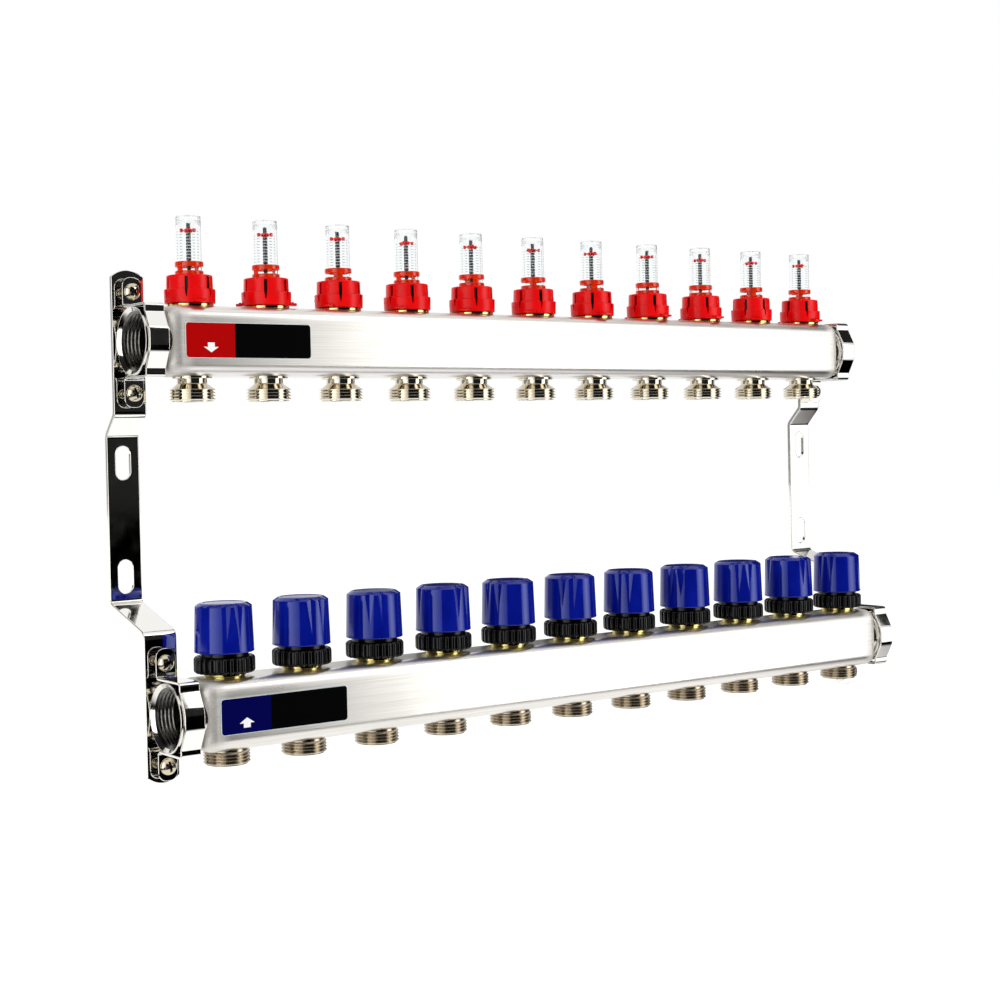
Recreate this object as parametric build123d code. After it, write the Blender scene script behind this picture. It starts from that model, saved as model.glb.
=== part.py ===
from build123d import *
import math
import os

# Underfloor heating manifold: a supply bar with flow meters above a return bar with manual
# valves, both clamped to two bent steel strips that are screwed to a wall.
#
# Frame, in millimetres: the origin is the middle of the four wall slots, on the wall. +X runs
# along the bars, +Z is up, and the manifold stands out from the wall towards -Y.
#
# Every valve, outlet, strap and socket is drawn about its own bar axis, with z = 0 on the axis,
# and then moved to its circuit or its bar end.

# ------------------------------------------------------------------ layout
CIRCUITS = 11              # heating circuits, one flow meter and one return valve each
PITCH = 50.0               # from one circuit to the next
BAR_SPACING = 210.0        # supply bar axis to return bar axis
SUPPLY_RISE = 102.0        # supply bar axis above the middle of the wall slots

# ------------------------------------------------------------------ clearances
SEAT_GAP = 0.1             # socket to the strip behind it
RUN_GAP = 0.3              # between pieces that move on each other, along the axis
BORE_GAP = 0.25            # radial, moving piece in its bore
FIT_GAP = 0.05             # radial, fixed piece in its bore
STRAP_GAP = 0.15           # strap to socket
GLASS_GAP = 0.5            # radial, sight glass inside the collar's web

# ------------------------------------------------------------------ threads and seals
THREAD_LAND = 0.3          # width of the flat crest of each turn
SEAL_SECTION = 1.2         # thickness of each O-ring in the bar wall

# ------------------------------------------------------------------ bars
BAR_HEIGHT = 40.0
BAR_DEPTH = 38.0
BAR_WALL = 1.5
BAR_ROUND = 8.0            # outside rounding of the section and of the closed ends
BAR_OVERHANG = 22.5        # end circuit axis to bar end

# ------------------------------------------------------------------ end sockets, G1 female
G1_MAJOR = 33.25
G1_MINOR = 30.29
G1_PITCH = 2.309
G1_TURNS = 5
SOCKET_OD = 39.0
SOCKET_LENGTH = 14.7       # bar end to mouth
SOCKET_CHAMFER = 0.8
SPIGOT_OD = 34.0           # part of the socket that is let into the bar end
SPIGOT_LENGTH = 3.0

# ------------------------------------------------------------------ wall strips
STRIP_OFFSET = 29.5        # end circuit axis to the middle of the strip
STRIP_WIDTH = 20.0
STRIP_THICK = 3.0
SUPPLY_STEP = 11.5         # wall flat forward to the supply flat
RETURN_STEP = 43.5         # wall flat forward to the return flat
WALL_FLAT = 98.0           # height of the flat that lies on the wall
SUPPLY_SLOPE = 12.0        # height of the slope up to the supply flat
RETURN_SLOPE = 14.0        # height of the slope down to the return flat
TOP_REACH = 42.0           # strip end above the supply bar axis
BOTTOM_REACH = 39.5        # strip end below the return bar axis
END_RISE = 4.0             # height of the arc at each strip end
BEND_RADIUS = 3.0          # inside radius of the bends
SLOT_WIDTH = 9.0
SLOT_LENGTH = 19.3
SLOT_SPACING = 66.0

# ------------------------------------------------------------------ clamp straps and screws
STRAP_WIDTH = 12.0
STRAP_THICK = 1.5
STRAP_SHOULDER = 13.4      # bar axis forward to the middle of the strap's short upright
STRAP_SLANT = 38.0         # degrees between the strap's front face and its slanting faces
STRAP_BEND = 1.8           # bend radius at the middle of the sheet
EAR_GAP = 4.5              # strap ear to strip
EAR_REACH = 8.3            # screw to the ear's end
EAR_ROUND = 5.0
SCREW_SPREAD = 29.0        # bar axis to screw axis
SCREW_OD = 5.0
SCREW_LENGTH = 12.0
SCREW_HEAD_OD = 9.5
SCREW_HEAD_HEIGHT = 3.4
SCREW_CROWN = 5.6          # radius of the domed head
CROSS_WIDTH = 1.2          # arm of the cross recess
CROSS_LENGTH = 5.4
CROSS_DEPTH = 1.6

# ------------------------------------------------------------------ outlets, G3/4 Eurocone
G34_OD = 26.44
G34_ROOT = 24.12
G34_PITCH = 1.814
OUTLET_BORE = 12.0
CONE_MOUTH = 19.4          # diameter of the cone at the outlet's end
CONE_BORE = 16.0           # parallel bore behind the cone
CONE_DEPTH = 2.4
CONE_BORE_DEPTH = 5.6
OUTLET_SPIGOT_OD = 17.0
SEAT_RISE = 8.0            # outlet spigot above the bar's underside
SUPPLY_FLANGE_OD = 23.0
SUPPLY_FLANGE = 1.2
SUPPLY_NECK_OD = 17.2
SUPPLY_NECK = 3.0
SUPPLY_TAPER = 2.6
SUPPLY_TURNS = 4
RETURN_NECK = 1.3
RETURN_TURNS = 4
OUTLET_LEAD = 0.5          # chamfer at the outlet's end

# ------------------------------------------------------------------ flow meters
METER_SHANK_OD = 20.8
METER_SHANK = 11.0         # shank below the bar's top face
METER_FLANGE_OD = 27.2
METER_FLANGE = 1.6
COLUMN_OD = 18.0
COLUMN_HEIGHT = 15.0       # above the flange
METER_BORE = 13.0
GUIDE_THICK = 3.0          # web that guides the indicator rod
GLASS_OD = 14.4
GLASS_WALL = 1.3
GLASS_SEAT = 3.6           # depth of the glass in the column
GLASS_LENGTH = 39.2
GLASS_TOP = 2.4            # thickness of the closed end
ROD_OD = 2.4
ROD_TIP_GAP = 3.2          # rod tip to the inside of the glass end
DISC_OD = 8.0
DISC_THICK = 1.1
DISC_DROP = 2.6            # rod tip down to the red disc
PLATE_OD = 10.0
PLATE_THICK = 1.5
PLATE_RISE = 1.5           # flow plate above the bar axis
INDICATOR_TRAVEL = 16.0

COLLAR_OD = 29.4           # lower tier
COLLAR_STEP_OD = 26.8      # upper tier at its foot
COLLAR_DRAFT = 1.5         # degrees, the upper tier leans in from its foot
COLLAR_TIER = 7.5          # height of the lower tier
COLLAR_WEB = 1.2
COLLAR_SLITS = 6
SLIT_WIDTH = 1.5
SLIT_WALL = 1.4            # left between a slit's floor and the bore
SLIT_FLOOR = 0.5           # slit end, as a share of the lower tier's height
LUG_REACH = 3.2
LUG_WIDTH = 8.0
LUG_THICK = 1.4
COLLAR_EASE = 0.6          # rounding of the collar's edges
# Degrees from the front towards +X at which each collar's lug stands, as the circuits are set.
COLLAR_TURN = (-4, 60, -56, -49, -54, -46, -8, 10, 7, -32, 6)

CLIP_OD = 16.6
CLIP_LOWER = 2.2           # height of the lower band
CLIP_GAP = 1.9
CLIP_UPPER = 3.3
CLIP_BRIDGE = 3.6          # width of each bridge between the bands
CLIP_TURN = (-70, -80, -25, -75, -12, -36, -25, 48, 55, -33, -50)

# ------------------------------------------------------------------ return valves
VALVE_SHANK_OD = 20.8
VALVE_SHANK = 12.0
VALVE_FLANGE_OD = 23.6
VALVE_FLANGE = 3.2
VALVE_HEAD_OD = 29.7       # M30 x 1.5
VALVE_HEAD = 7.5
VALVE_BORE = 12.0
STEM_OD = 6.0
PLUG_OD = 15.0
PLUG_THICK = 4.0
STEM_PITCH = 1.5           # rise for one turn of the cap
CLOSE_TRAVEL = 0.75
OPEN_TRAVEL = 2.25

RING_OD = 34.5
RING_HEIGHT = 9.3
RING_RIBS = 26
RIB_GROOVE = 1.1           # radius of the flute between two ribs
RIB_DEPTH = 0.7
RING_WEB = 1.4
RING_DISH = 0.9            # recess inside the ring's upper rim
NECK_OD = 27.2
NECK_WALL = 1.6
NECK_HEIGHT = 5.5

CAP_OD = 34.0
CAP_TOP_OD = 32.0
CAP_HEIGHT = 27.5
CAP_BEVEL = 2.6
CAP_BEVEL_DROP = 1.6
CAP_GAP = 1.1              # ring to cap in the position shown
CAP_SKIRT = 6.9            # depth of the bore that slides over the neck
CAP_HOLLOW_OD = 21.0
CAP_ROOF = 5.0
BOSS_OD = 12.0
BOSS_LENGTH = 12.0
CAP_GROOVE_PAIRS = 3
GROOVE_SPREAD = 30.0       # degrees between the two grooves of a pair
GROOVE_TOP_RADIUS = 2.4
GROOVE_END_RADIUS = 0.7
GROOVE_LENGTH = 0.76       # share of the cap's height
GROOVE_DEPTH = 1.0
# Degrees from the front towards +X at which the middle of one groove pair stands.
CAP_TURN = (-9, 5, -28, 13, -72, -43, -52, -64, -28, 6, -76)

# ------------------------------------------------------------------ labels
LABEL_LENGTH = 81.5
LABEL_HEIGHT = 20.4
LABEL_THICK = 0.4
LABEL_ROUND = 2.0
LABEL_LEAD = 13.0          # label's left edge to the first circuit

# ------------------------------------------------------------------ derived places
HALF_HEIGHT = BAR_HEIGHT / 2
HALF_SPAN = (CIRCUITS - 1) * PITCH / 2
BAR_END_X = HALF_SPAN + BAR_OVERHANG
STRIP_X = HALF_SPAN + STRIP_OFFSET
CIRCUIT_X = [PITCH * i - HALF_SPAN for i in range(CIRCUITS)]
SUPPLY_FRONT = -(STRIP_THICK + SUPPLY_STEP)
RETURN_FRONT = -(STRIP_THICK + RETURN_STEP)
SOCKET_STANDOFF = SEAT_GAP + SOCKET_OD / 2
SUPPLY_Y = SUPPLY_FRONT - SOCKET_STANDOFF
RETURN_Y = RETURN_FRONT - SOCKET_STANDOFF
SUPPLY_Z = SUPPLY_RISE
RETURN_Z = SUPPLY_RISE - BAR_SPACING
BARS = ((SUPPLY_Y, SUPPLY_Z), (RETURN_Y, RETURN_Z))
SEAT_Z = -HALF_HEIGHT + SEAT_RISE
UPPER_SEAL_Z = HALF_HEIGHT - BAR_WALL / 2
LOWER_SEAL_Z = -UPPER_SEAL_Z

COLUMN_TOP = HALF_HEIGHT + METER_FLANGE + COLUMN_HEIGHT
GLASS_BOTTOM = COLUMN_TOP - GLASS_SEAT
GLASS_END = GLASS_BOTTOM + GLASS_LENGTH
COLLAR_BOTTOM = HALF_HEIGHT + METER_FLANGE + RUN_GAP
COLLAR_TOP = COLUMN_TOP + RUN_GAP + COLLAR_WEB
CLIP_BOTTOM = COLLAR_TOP + RUN_GAP

HEAD_BOTTOM = HALF_HEIGHT + VALVE_FLANGE
HEAD_TOP = HEAD_BOTTOM + VALVE_HEAD
RING_TOP = HEAD_TOP + FIT_GAP + RING_WEB + RING_DISH
RING_BOTTOM = RING_TOP - RING_HEIGHT
NECK_TOP = RING_TOP - RING_DISH + NECK_HEIGHT
CAP_BOTTOM = RING_TOP + CAP_GAP
CAP_TOP = CAP_BOTTOM + CAP_HEIGHT
BOSS_BOTTOM = CAP_TOP - CAP_ROOF - BOSS_LENGTH
PLUG_BOTTOM = SEAT_Z + CLOSE_TRAVEL + RUN_GAP


def rod(diameter, bottom, top):
    """A round bar about the Z axis, from bottom to top."""
    return Pos(0, 0, (bottom + top) / 2) * Cylinder(diameter / 2, top - bottom)


def turned(points):
    """A solid of revolution about Z from a closed outline of (radius, height) points."""
    outline = Polyline(*[(r, 0, z) for r, z in points], close=True)
    return revolve(make_face(outline), Axis.Z)


def thread(crest, root, start, pitch, turns):
    """Outline points of a thread drawn as rings, each with a flat crest, from start downwards."""
    flank = (pitch - THREAD_LAND) / 2
    points = []
    for turn in range(turns):
        top = start - turn * pitch
        points += [(root, top), (crest, top - flank), (crest, top - flank - THREAD_LAND)]
    return points + [(root, start - turns * pitch)]


def seal(outside, height):
    """O-ring about Z with this outside diameter, its middle at this height."""
    return Pos(0, 0, height) * Torus((outside - SEAL_SECTION) / 2, SEAL_SECTION / 2)


def seal_groove(outside, height):
    """The ring-shaped groove that holds such an O-ring with a little room all round."""
    room = SEAL_SECTION + 2 * FIT_GAP
    bottom, top = height - room / 2, height + room / 2
    return rod(outside, bottom, top) - rod(outside - 2 * room, bottom, top)


def facing(angle):
    """The direction at this angle from the front (-Y) towards +X."""
    return math.sin(math.radians(angle)), -math.cos(math.radians(angle))


def along_x(shape):
    """Turns a piece drawn up the Z axis so that it points along +X."""
    return Rot(0, 90, 0) * shape


def mirrored_ends(shape):
    """The piece at the +X end and its mirror image at the -X end."""
    return [shape, mirror(shape, Plane.YZ)]


os.makedirs("parts", exist_ok=True)


def write(name, *solids):
    """One STEP file for one node, with its separate solids side by side."""
    flat = [s for shape in solids for s in shape.solids()]
    shape = flat[0] if len(flat) == 1 else Compound(children=flat)
    shape.label = name
    export_step(shape, f"parts/{name}.step")


# ------------------------------------------------------------------ bars
def bar(top_hole, bottom_hole):
    """Closed steel box with rounded edges, bored for its valves, outlets and end sockets."""
    length = 2 * BAR_END_X
    outer = fillet(Box(length, BAR_DEPTH, BAR_HEIGHT).edges(), BAR_ROUND)
    inner = Box(length - 2 * BAR_WALL, BAR_DEPTH - 2 * BAR_WALL, BAR_HEIGHT - 2 * BAR_WALL)
    body = outer - fillet(inner.edges(), BAR_ROUND - BAR_WALL)
    for x in CIRCUIT_X:
        body -= Pos(x, 0, 0) * rod(top_hole + 2 * FIT_GAP, 0, BAR_HEIGHT)
        body -= Pos(x, 0, 0) * rod(bottom_hole + 2 * FIT_GAP, -BAR_HEIGHT, 0)
    reach = SPIGOT_LENGTH + RUN_GAP
    end_hole = along_x(rod(SPIGOT_OD + 2 * FIT_GAP, BAR_END_X - reach, BAR_END_X + reach))
    return body - mirrored_ends(end_hole)


def end_socket():
    """Female G1 socket on the +X bar end, about the bar axis, with its spigot in the bar."""
    mouth = BAR_END_X + SOCKET_LENGTH
    outside, inside, minor, major = SOCKET_OD / 2, SPIGOT_OD / 2, G1_MINOR / 2, G1_MAJOR / 2
    points = [
        (minor, BAR_END_X - SPIGOT_LENGTH),
        (inside, BAR_END_X - SPIGOT_LENGTH),
        (inside, BAR_END_X),
        (outside, BAR_END_X),
        (outside, mouth - SOCKET_CHAMFER),
        (outside - SOCKET_CHAMFER, mouth),
    ]
    points += thread(minor, major, mouth, G1_PITCH, G1_TURNS)
    points.append((minor, mouth - G1_TURNS * G1_PITCH - (major - minor)))
    return along_x(turned(points))


# ------------------------------------------------------------------ wall strips and clamps
def bent_band(points, bend, thickness, width):
    """A band of even thickness along a line of (y, z) points, as wide as given along X."""
    line = FilletPolyline(*[(0, y, z) for y, z in points], radius=bend)
    path = Wire(line.edges())
    start = Plane(origin=path @ 0, x_dir=(1, 0, 0), z_dir=path % 0)
    return sweep(start * Rectangle(width, thickness), path=path)


def strip():
    """One bent wall strip, centred on X = 0, with its wall slots and its tapped screw holes."""
    half = STRIP_THICK / 2
    points = [
        (SUPPLY_FRONT + half, SUPPLY_Z + TOP_REACH),
        (SUPPLY_FRONT + half, WALL_FLAT / 2 + SUPPLY_SLOPE),
        (-half, WALL_FLAT / 2),
        (-half, -WALL_FLAT / 2),
        (RETURN_FRONT + half, -WALL_FLAT / 2 - RETURN_SLOPE),
        (RETURN_FRONT + half, RETURN_Z - BOTTOM_REACH),
    ]
    body = bent_band(points, BEND_RADIUS + half, STRIP_THICK, STRIP_WIDTH)
    top, bottom, side = points[0][1], points[-1][1], STRIP_WIDTH / 2
    outline = [
        Line((-side, bottom + END_RISE), (-side, top - END_RISE)),
        ThreePointArc((-side, top - END_RISE), (0, top), (side, top - END_RISE)),
        Line((side, top - END_RISE), (side, bottom + END_RISE)),
        ThreePointArc((side, bottom + END_RISE), (0, bottom), (-side, bottom + END_RISE)),
    ]
    reach = 2 * (RETURN_STEP + STRIP_THICK)
    body &= extrude(Plane.XZ * make_face(outline), amount=reach, both=True)
    for z in (-SLOT_SPACING / 2, SLOT_SPACING / 2):
        slot = Plane.XZ * (Pos(0, z) * Rot(0, 0, 90) * SlotOverall(SLOT_LENGTH, SLOT_WIDTH))
        body -= extrude(slot, amount=STRIP_THICK * 2, both=True)
    for y, z in BARS:
        for side in (-SCREW_SPREAD, SCREW_SPREAD):
            hole = Rot(90, 0, 0) * Cylinder(SCREW_OD / 2 + FIT_GAP, reach)
            body -= Pos(0, y, z + side) * hole
    return body


EAR_BACK = SOCKET_STANDOFF - EAR_GAP          # back face of the strap ears, from the bar axis
EAR_FRONT = EAR_BACK - STRAP_THICK


def clamp_strap():
    """Strap over a socket, about the bar axis, with an ear above and one below."""
    reach = SOCKET_OD / 2 + STRAP_GAP + STRAP_THICK / 2
    slant = math.radians(STRAP_SLANT)
    ear = (EAR_BACK + EAR_FRONT) / 2
    shoulder = -STRAP_SHOULDER
    tip = SCREW_SPREAD + EAR_REACH
    upper = [
        (ear, tip),
        (ear, reach),
        (shoulder, reach),
        (shoulder, (reach + shoulder * math.cos(slant)) / math.sin(slant)),
        (-reach, reach * math.tan(slant / 2)),
    ]
    lower = [(y, -z) for y, z in reversed(upper)]
    body = bent_band(upper + lower, STRAP_BEND, STRAP_THICK, STRAP_WIDTH)
    outline = Plane.XZ * RectangleRounded(STRAP_WIDTH, 2 * tip, EAR_ROUND)
    body &= extrude(outline, amount=2 * SOCKET_OD, both=True)
    for z in (-SCREW_SPREAD, SCREW_SPREAD):
        hole = Rot(90, 0, 0) * Cylinder(SCREW_OD / 2 + BORE_GAP, STRAP_THICK * 2)
        body -= Pos(0, ear, z) * hole
    return body


def clamp_screw():
    """Pan-head cross-recess screw along -Y: the head's underside is at y = 0."""
    height = SCREW_HEAD_HEIGHT
    crown = Pos(0, 0, height - SCREW_CROWN) * Sphere(SCREW_CROWN)
    body = rod(SCREW_HEAD_OD, 0, height) & crown
    body += rod(SCREW_OD, -SCREW_LENGTH, 0)
    for turn in (0, 90):
        arm = Box(CROSS_LENGTH, CROSS_WIDTH, CROSS_DEPTH)
        body -= Rot(0, 0, turn) * (Pos(0, 0, height - CROSS_DEPTH / 2) * arm)
    return Rot(90, 0, 0) * body


# ------------------------------------------------------------------ outlets
def outlet(neck, turns, top_z):
    """Male G3/4 outlet below the bar: neck outline, thread turns, and the spigot in the bar."""
    end = top_z - turns * G34_PITCH - OUTLET_LEAD
    points = [(OUTLET_BORE / 2, SEAT_Z), (OUTLET_SPIGOT_OD / 2, SEAT_Z)] + neck
    points += thread(G34_OD / 2, G34_ROOT / 2, top_z, G34_PITCH, turns)
    points += [
        (G34_ROOT / 2, end),
        (CONE_MOUTH / 2, end),
        (CONE_BORE / 2, end + CONE_DEPTH),
        (CONE_BORE / 2, end + CONE_DEPTH + CONE_BORE_DEPTH),
        (OUTLET_BORE / 2, end + CONE_DEPTH + CONE_BORE_DEPTH),
    ]
    return turned(points) - seal_groove(OUTLET_SPIGOT_OD, LOWER_SEAL_Z)


def supply_outlet():
    """Outlet with a flange against the bar, a slim neck and a taper out to the thread."""
    under = -HALF_HEIGHT
    flange_end = under - SUPPLY_FLANGE
    neck_end = flange_end - SUPPLY_NECK
    neck = [
        (OUTLET_SPIGOT_OD / 2, under),
        (SUPPLY_FLANGE_OD / 2, under),
        (SUPPLY_FLANGE_OD / 2, flange_end),
        (SUPPLY_NECK_OD / 2, flange_end),
        (SUPPLY_NECK_OD / 2, neck_end),
    ]
    return outlet(neck, SUPPLY_TURNS, neck_end - SUPPLY_TAPER)


def return_outlet():
    """Outlet whose thread starts close under the bar."""
    under = -HALF_HEIGHT
    neck = [(OUTLET_SPIGOT_OD / 2, under), (G34_ROOT / 2, under)]
    return outlet(neck, RETURN_TURNS, under - RETURN_NECK)


# ------------------------------------------------------------------ flow meters
def meter_body():
    """Brass insert: shank in the bar, flange on it, and the column that holds the glass."""
    body = rod(METER_SHANK_OD, HALF_HEIGHT - METER_SHANK, HALF_HEIGHT)
    body += rod(METER_FLANGE_OD, HALF_HEIGHT, HALF_HEIGHT + METER_FLANGE)
    body += rod(COLUMN_OD, HALF_HEIGHT, COLUMN_TOP)
    body -= rod(GLASS_OD + 2 * FIT_GAP, GLASS_BOTTOM, COLUMN_TOP)
    body -= rod(METER_BORE, HALF_HEIGHT - METER_SHANK, GLASS_BOTTOM - GUIDE_THICK)
    body -= seal_groove(METER_SHANK_OD, UPPER_SEAL_Z)
    return body - rod(ROD_OD + 2 * BORE_GAP, 0, COLUMN_TOP)


def sight_glass():
    """Clear tube, closed and rounded at its top."""
    body = rod(GLASS_OD, GLASS_BOTTOM, GLASS_END)
    body = fillet(body.edges().group_by(Axis.Z)[-1], GLASS_WALL)
    return body - rod(GLASS_OD - 2 * GLASS_WALL, GLASS_BOTTOM, GLASS_END - GLASS_TOP)


def clip_ring(turn):
    """Locking ring on the glass: two bands joined by two narrow bridges."""
    lower_top = CLIP_BOTTOM + CLIP_LOWER
    upper_bottom = lower_top + CLIP_GAP
    body = rod(CLIP_OD, CLIP_BOTTOM, upper_bottom + CLIP_UPPER)
    body -= rod(GLASS_OD + 2 * FIT_GAP, CLIP_BOTTOM, upper_bottom + CLIP_UPPER)
    bridges = Pos(0, 0, lower_top + CLIP_GAP / 2) * Box(CLIP_BRIDGE, CLIP_OD, CLIP_GAP)
    return Rot(0, 0, turn) * (body - (rod(CLIP_OD, lower_top, upper_bottom) - bridges))


def flow_collar(turn):
    """Red hand collar that turns on the brass column, with slits and two lugs."""
    tier_top = COLLAR_BOTTOM + COLLAR_TIER
    lower = rod(COLLAR_OD, COLLAR_BOTTOM, tier_top)
    lower = fillet(lower.edges().group_by(Axis.Z)[-1], COLLAR_EASE)
    rise = COLLAR_TOP - COLLAR_BOTTOM
    lean = (rise - COLLAR_TIER) * math.tan(math.radians(COLLAR_DRAFT))
    foot_radius = COLLAR_STEP_OD / 2
    upper = Cone(foot_radius, foot_radius - lean, rise - COLLAR_TIER)
    upper = Pos(0, 0, (tier_top + COLLAR_TOP) / 2) * upper
    upper = fillet(upper.edges().group_by(Axis.Z)[-1], COLLAR_EASE)
    lug_z = COLLAR_BOTTOM + LUG_THICK / 2
    body = lower + upper + Pos(0, 0, lug_z) * Box(LUG_WIDTH, COLLAR_OD + 2 * LUG_REACH, LUG_THICK)
    bore = COLUMN_OD + 2 * BORE_GAP
    body -= rod(bore, COLLAR_BOTTOM, COLLAR_TOP - COLLAR_WEB)
    body -= rod(GLASS_OD + 2 * GLASS_GAP, COLLAR_BOTTOM, COLLAR_TOP)
    slit_floor = bore / 2 + SLIT_WALL
    slit_bottom = COLLAR_BOTTOM + COLLAR_TIER * SLIT_FLOOR
    slit_top = COLLAR_TOP - COLLAR_WEB
    slit = Box(COLLAR_OD, SLIT_WIDTH, slit_top - slit_bottom)
    for index in range(COLLAR_SLITS):
        place = Pos(slit_floor + COLLAR_OD / 2, 0, (slit_bottom + slit_top) / 2)
        body -= Rot(0, 0, index * 360 / COLLAR_SLITS) * place * slit
    return Rot(0, 0, turn) * body


def flow_indicator():
    """Rod with the red reading disc in the glass and the flow plate in the bar."""
    tip = GLASS_END - GLASS_TOP - ROD_TIP_GAP
    body = rod(ROD_OD, PLATE_RISE, tip)
    body += rod(DISC_OD, tip - DISC_DROP - DISC_THICK, tip - DISC_DROP)
    return body + rod(PLATE_OD, PLATE_RISE, PLATE_RISE + PLATE_THICK)


# ------------------------------------------------------------------ return valves
def valve_insert():
    """Brass insert: shank in the bar, round foot on it, and the M30 head inside the ring."""
    body = rod(VALVE_SHANK_OD, HALF_HEIGHT - VALVE_SHANK, HALF_HEIGHT)
    body += rod(VALVE_FLANGE_OD, HALF_HEIGHT, HEAD_BOTTOM)
    body += rod(VALVE_HEAD_OD, HEAD_BOTTOM, HEAD_TOP)
    body -= rod(VALVE_BORE, HALF_HEIGHT - VALVE_SHANK, HALF_HEIGHT)
    body -= seal_groove(VALVE_SHANK_OD, UPPER_SEAL_Z)
    return body - rod(STEM_OD + 2 * BORE_GAP, 0, HEAD_TOP)


def union_ring():
    """Ribbed black ring on the M30 head, with the neck that carries the cap."""
    web_bottom = HEAD_TOP + FIT_GAP
    web_top = web_bottom + RING_WEB
    body = rod(RING_OD, RING_BOTTOM, RING_TOP)
    rim = [body.edges().group_by(Axis.Z)[0], body.edges().group_by(Axis.Z)[-1]]
    body = chamfer([edge for group in rim for edge in group], RING_DISH)
    groove = rod(2 * RIB_GROOVE, RING_BOTTOM - RING_WEB, RING_TOP - RING_DISH)
    for index in range(RING_RIBS):
        angle = index * 360 / RING_RIBS
        body -= Rot(0, 0, angle) * Pos(RING_OD / 2 + RIB_GROOVE - RIB_DEPTH, 0, 0) * groove
    body -= rod(VALVE_HEAD_OD + 2 * FIT_GAP, RING_BOTTOM, web_bottom)
    body -= rod(VALVE_HEAD_OD, web_top, RING_TOP)
    body += rod(NECK_OD, web_bottom, NECK_TOP)
    return body - rod(NECK_OD - 2 * NECK_WALL, RING_BOTTOM, NECK_TOP)


def cap_groove(angle):
    """Tapered finger groove down the side of the cap: a slim cone laid along its slope."""
    length = CAP_HEIGHT * GROOVE_LENGTH
    slope = math.degrees(math.atan2((CAP_OD - CAP_TOP_OD) / 2, CAP_HEIGHT))
    cone = Cone(GROOVE_END_RADIUS, GROOVE_TOP_RADIUS, length)
    end = Pos(0, 0, -length / 2) * Sphere(GROOVE_END_RADIUS)
    lift = math.degrees(math.atan2(GROOVE_TOP_RADIUS - GROOVE_END_RADIUS, length))
    tool = Rot(0, lift - slope, 0) * (cone + end)
    radius = (CAP_OD + CAP_TOP_OD) / 4 + (GROOVE_TOP_RADIUS + GROOVE_END_RADIUS) / 2 - GROOVE_DEPTH
    x, y = facing(angle)
    return Pos(radius * x, radius * y, CAP_TOP - length / 2) * Rot(0, 0, angle - 90) * tool


def return_cap(turn):
    """Blue hand cap: tapered shell with a bevelled crown, finger grooves and an inner boss."""
    outside, crown = CAP_OD / 2, CAP_TOP_OD / 2
    skirt_top = CAP_BOTTOM + CAP_SKIRT
    roof = CAP_TOP - CAP_ROOF
    skirt = NECK_OD / 2 + BORE_GAP
    body = turned([
        (0, BOSS_BOTTOM),
        (BOSS_OD / 2, BOSS_BOTTOM),
        (BOSS_OD / 2, roof),
        (CAP_HOLLOW_OD / 2, roof),
        (CAP_HOLLOW_OD / 2, skirt_top),
        (skirt, skirt_top),
        (skirt, CAP_BOTTOM),
        (outside, CAP_BOTTOM),
        (crown, CAP_TOP - CAP_BEVEL_DROP),
        (crown - CAP_BEVEL, CAP_TOP),
        (0, CAP_TOP),
    ])
    for pair in range(CAP_GROOVE_PAIRS):
        middle = turn + pair * 360 / CAP_GROOVE_PAIRS
        for side in (-GROOVE_SPREAD / 2, GROOVE_SPREAD / 2):
            body -= cap_groove(middle + side)
    return body


def valve_stem():
    """Spindle from the cap's boss down to the valve plug."""
    body = rod(STEM_OD, PLUG_BOTTOM, BOSS_BOTTOM - RUN_GAP)
    return body + rod(PLUG_OD, PLUG_BOTTOM, PLUG_BOTTOM + PLUG_THICK)


# ------------------------------------------------------------------ assembly
def at_supply(shape, x):
    return Pos(x, SUPPLY_Y, SUPPLY_Z) * shape


def at_return(shape, x):
    return Pos(x, RETURN_Y, RETURN_Z) * shape


def on_both_bars(shapes):
    """Copies of pieces drawn about a bar axis, on the supply bar and on the return bar."""
    return [Pos(0, y, z) * shape for y, z in BARS for shape in shapes]


write("supply_bar", at_supply(bar(METER_SHANK_OD, OUTLET_SPIGOT_OD), 0))
write("return_bar", at_return(bar(VALVE_SHANK_OD, OUTLET_SPIGOT_OD), 0))
write("end_sockets", *on_both_bars(mirrored_ends(end_socket())))

wall_strip = strip()
write("left_bracket", Pos(-STRIP_X, 0, 0) * wall_strip)
write("right_bracket", Pos(STRIP_X, 0, 0) * wall_strip)
write("clamp_straps", *on_both_bars(mirrored_ends(Pos(STRIP_X, 0, 0) * clamp_strap())))

screw = clamp_screw()
screws = [Pos(x, EAR_FRONT, z) * screw for x in (-STRIP_X, STRIP_X) for z in (-SCREW_SPREAD, SCREW_SPREAD)]
write("clamp_screws", *on_both_bars(screws))

write("supply_outlets", *[at_supply(supply_outlet(), x) for x in CIRCUIT_X])
write("return_outlets", *[at_return(return_outlet(), x) for x in CIRCUIT_X])
write("flow_meter_bodies", *[at_supply(meter_body(), x) for x in CIRCUIT_X])
write("sight_glasses", *[at_supply(sight_glass(), x) for x in CIRCUIT_X])
rings = [clip_ring(CLIP_TURN[i % len(CLIP_TURN)]) for i in range(CIRCUITS)]
write("clip_rings", *[at_supply(ring, x) for ring, x in zip(rings, CIRCUIT_X)])
write("valve_inserts", *[at_return(valve_insert(), x) for x in CIRCUIT_X])
write("union_rings", *[at_return(union_ring(), x) for x in CIRCUIT_X])

seals = [at_supply(seal(METER_SHANK_OD, UPPER_SEAL_Z), x) for x in CIRCUIT_X]
seals += [at_return(seal(VALVE_SHANK_OD, UPPER_SEAL_Z), x) for x in CIRCUIT_X]
seals += [at(seal(OUTLET_SPIGOT_OD, LOWER_SEAL_Z), x) for at in (at_supply, at_return) for x in CIRCUIT_X]
write("seal_rings", *seals)

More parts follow.
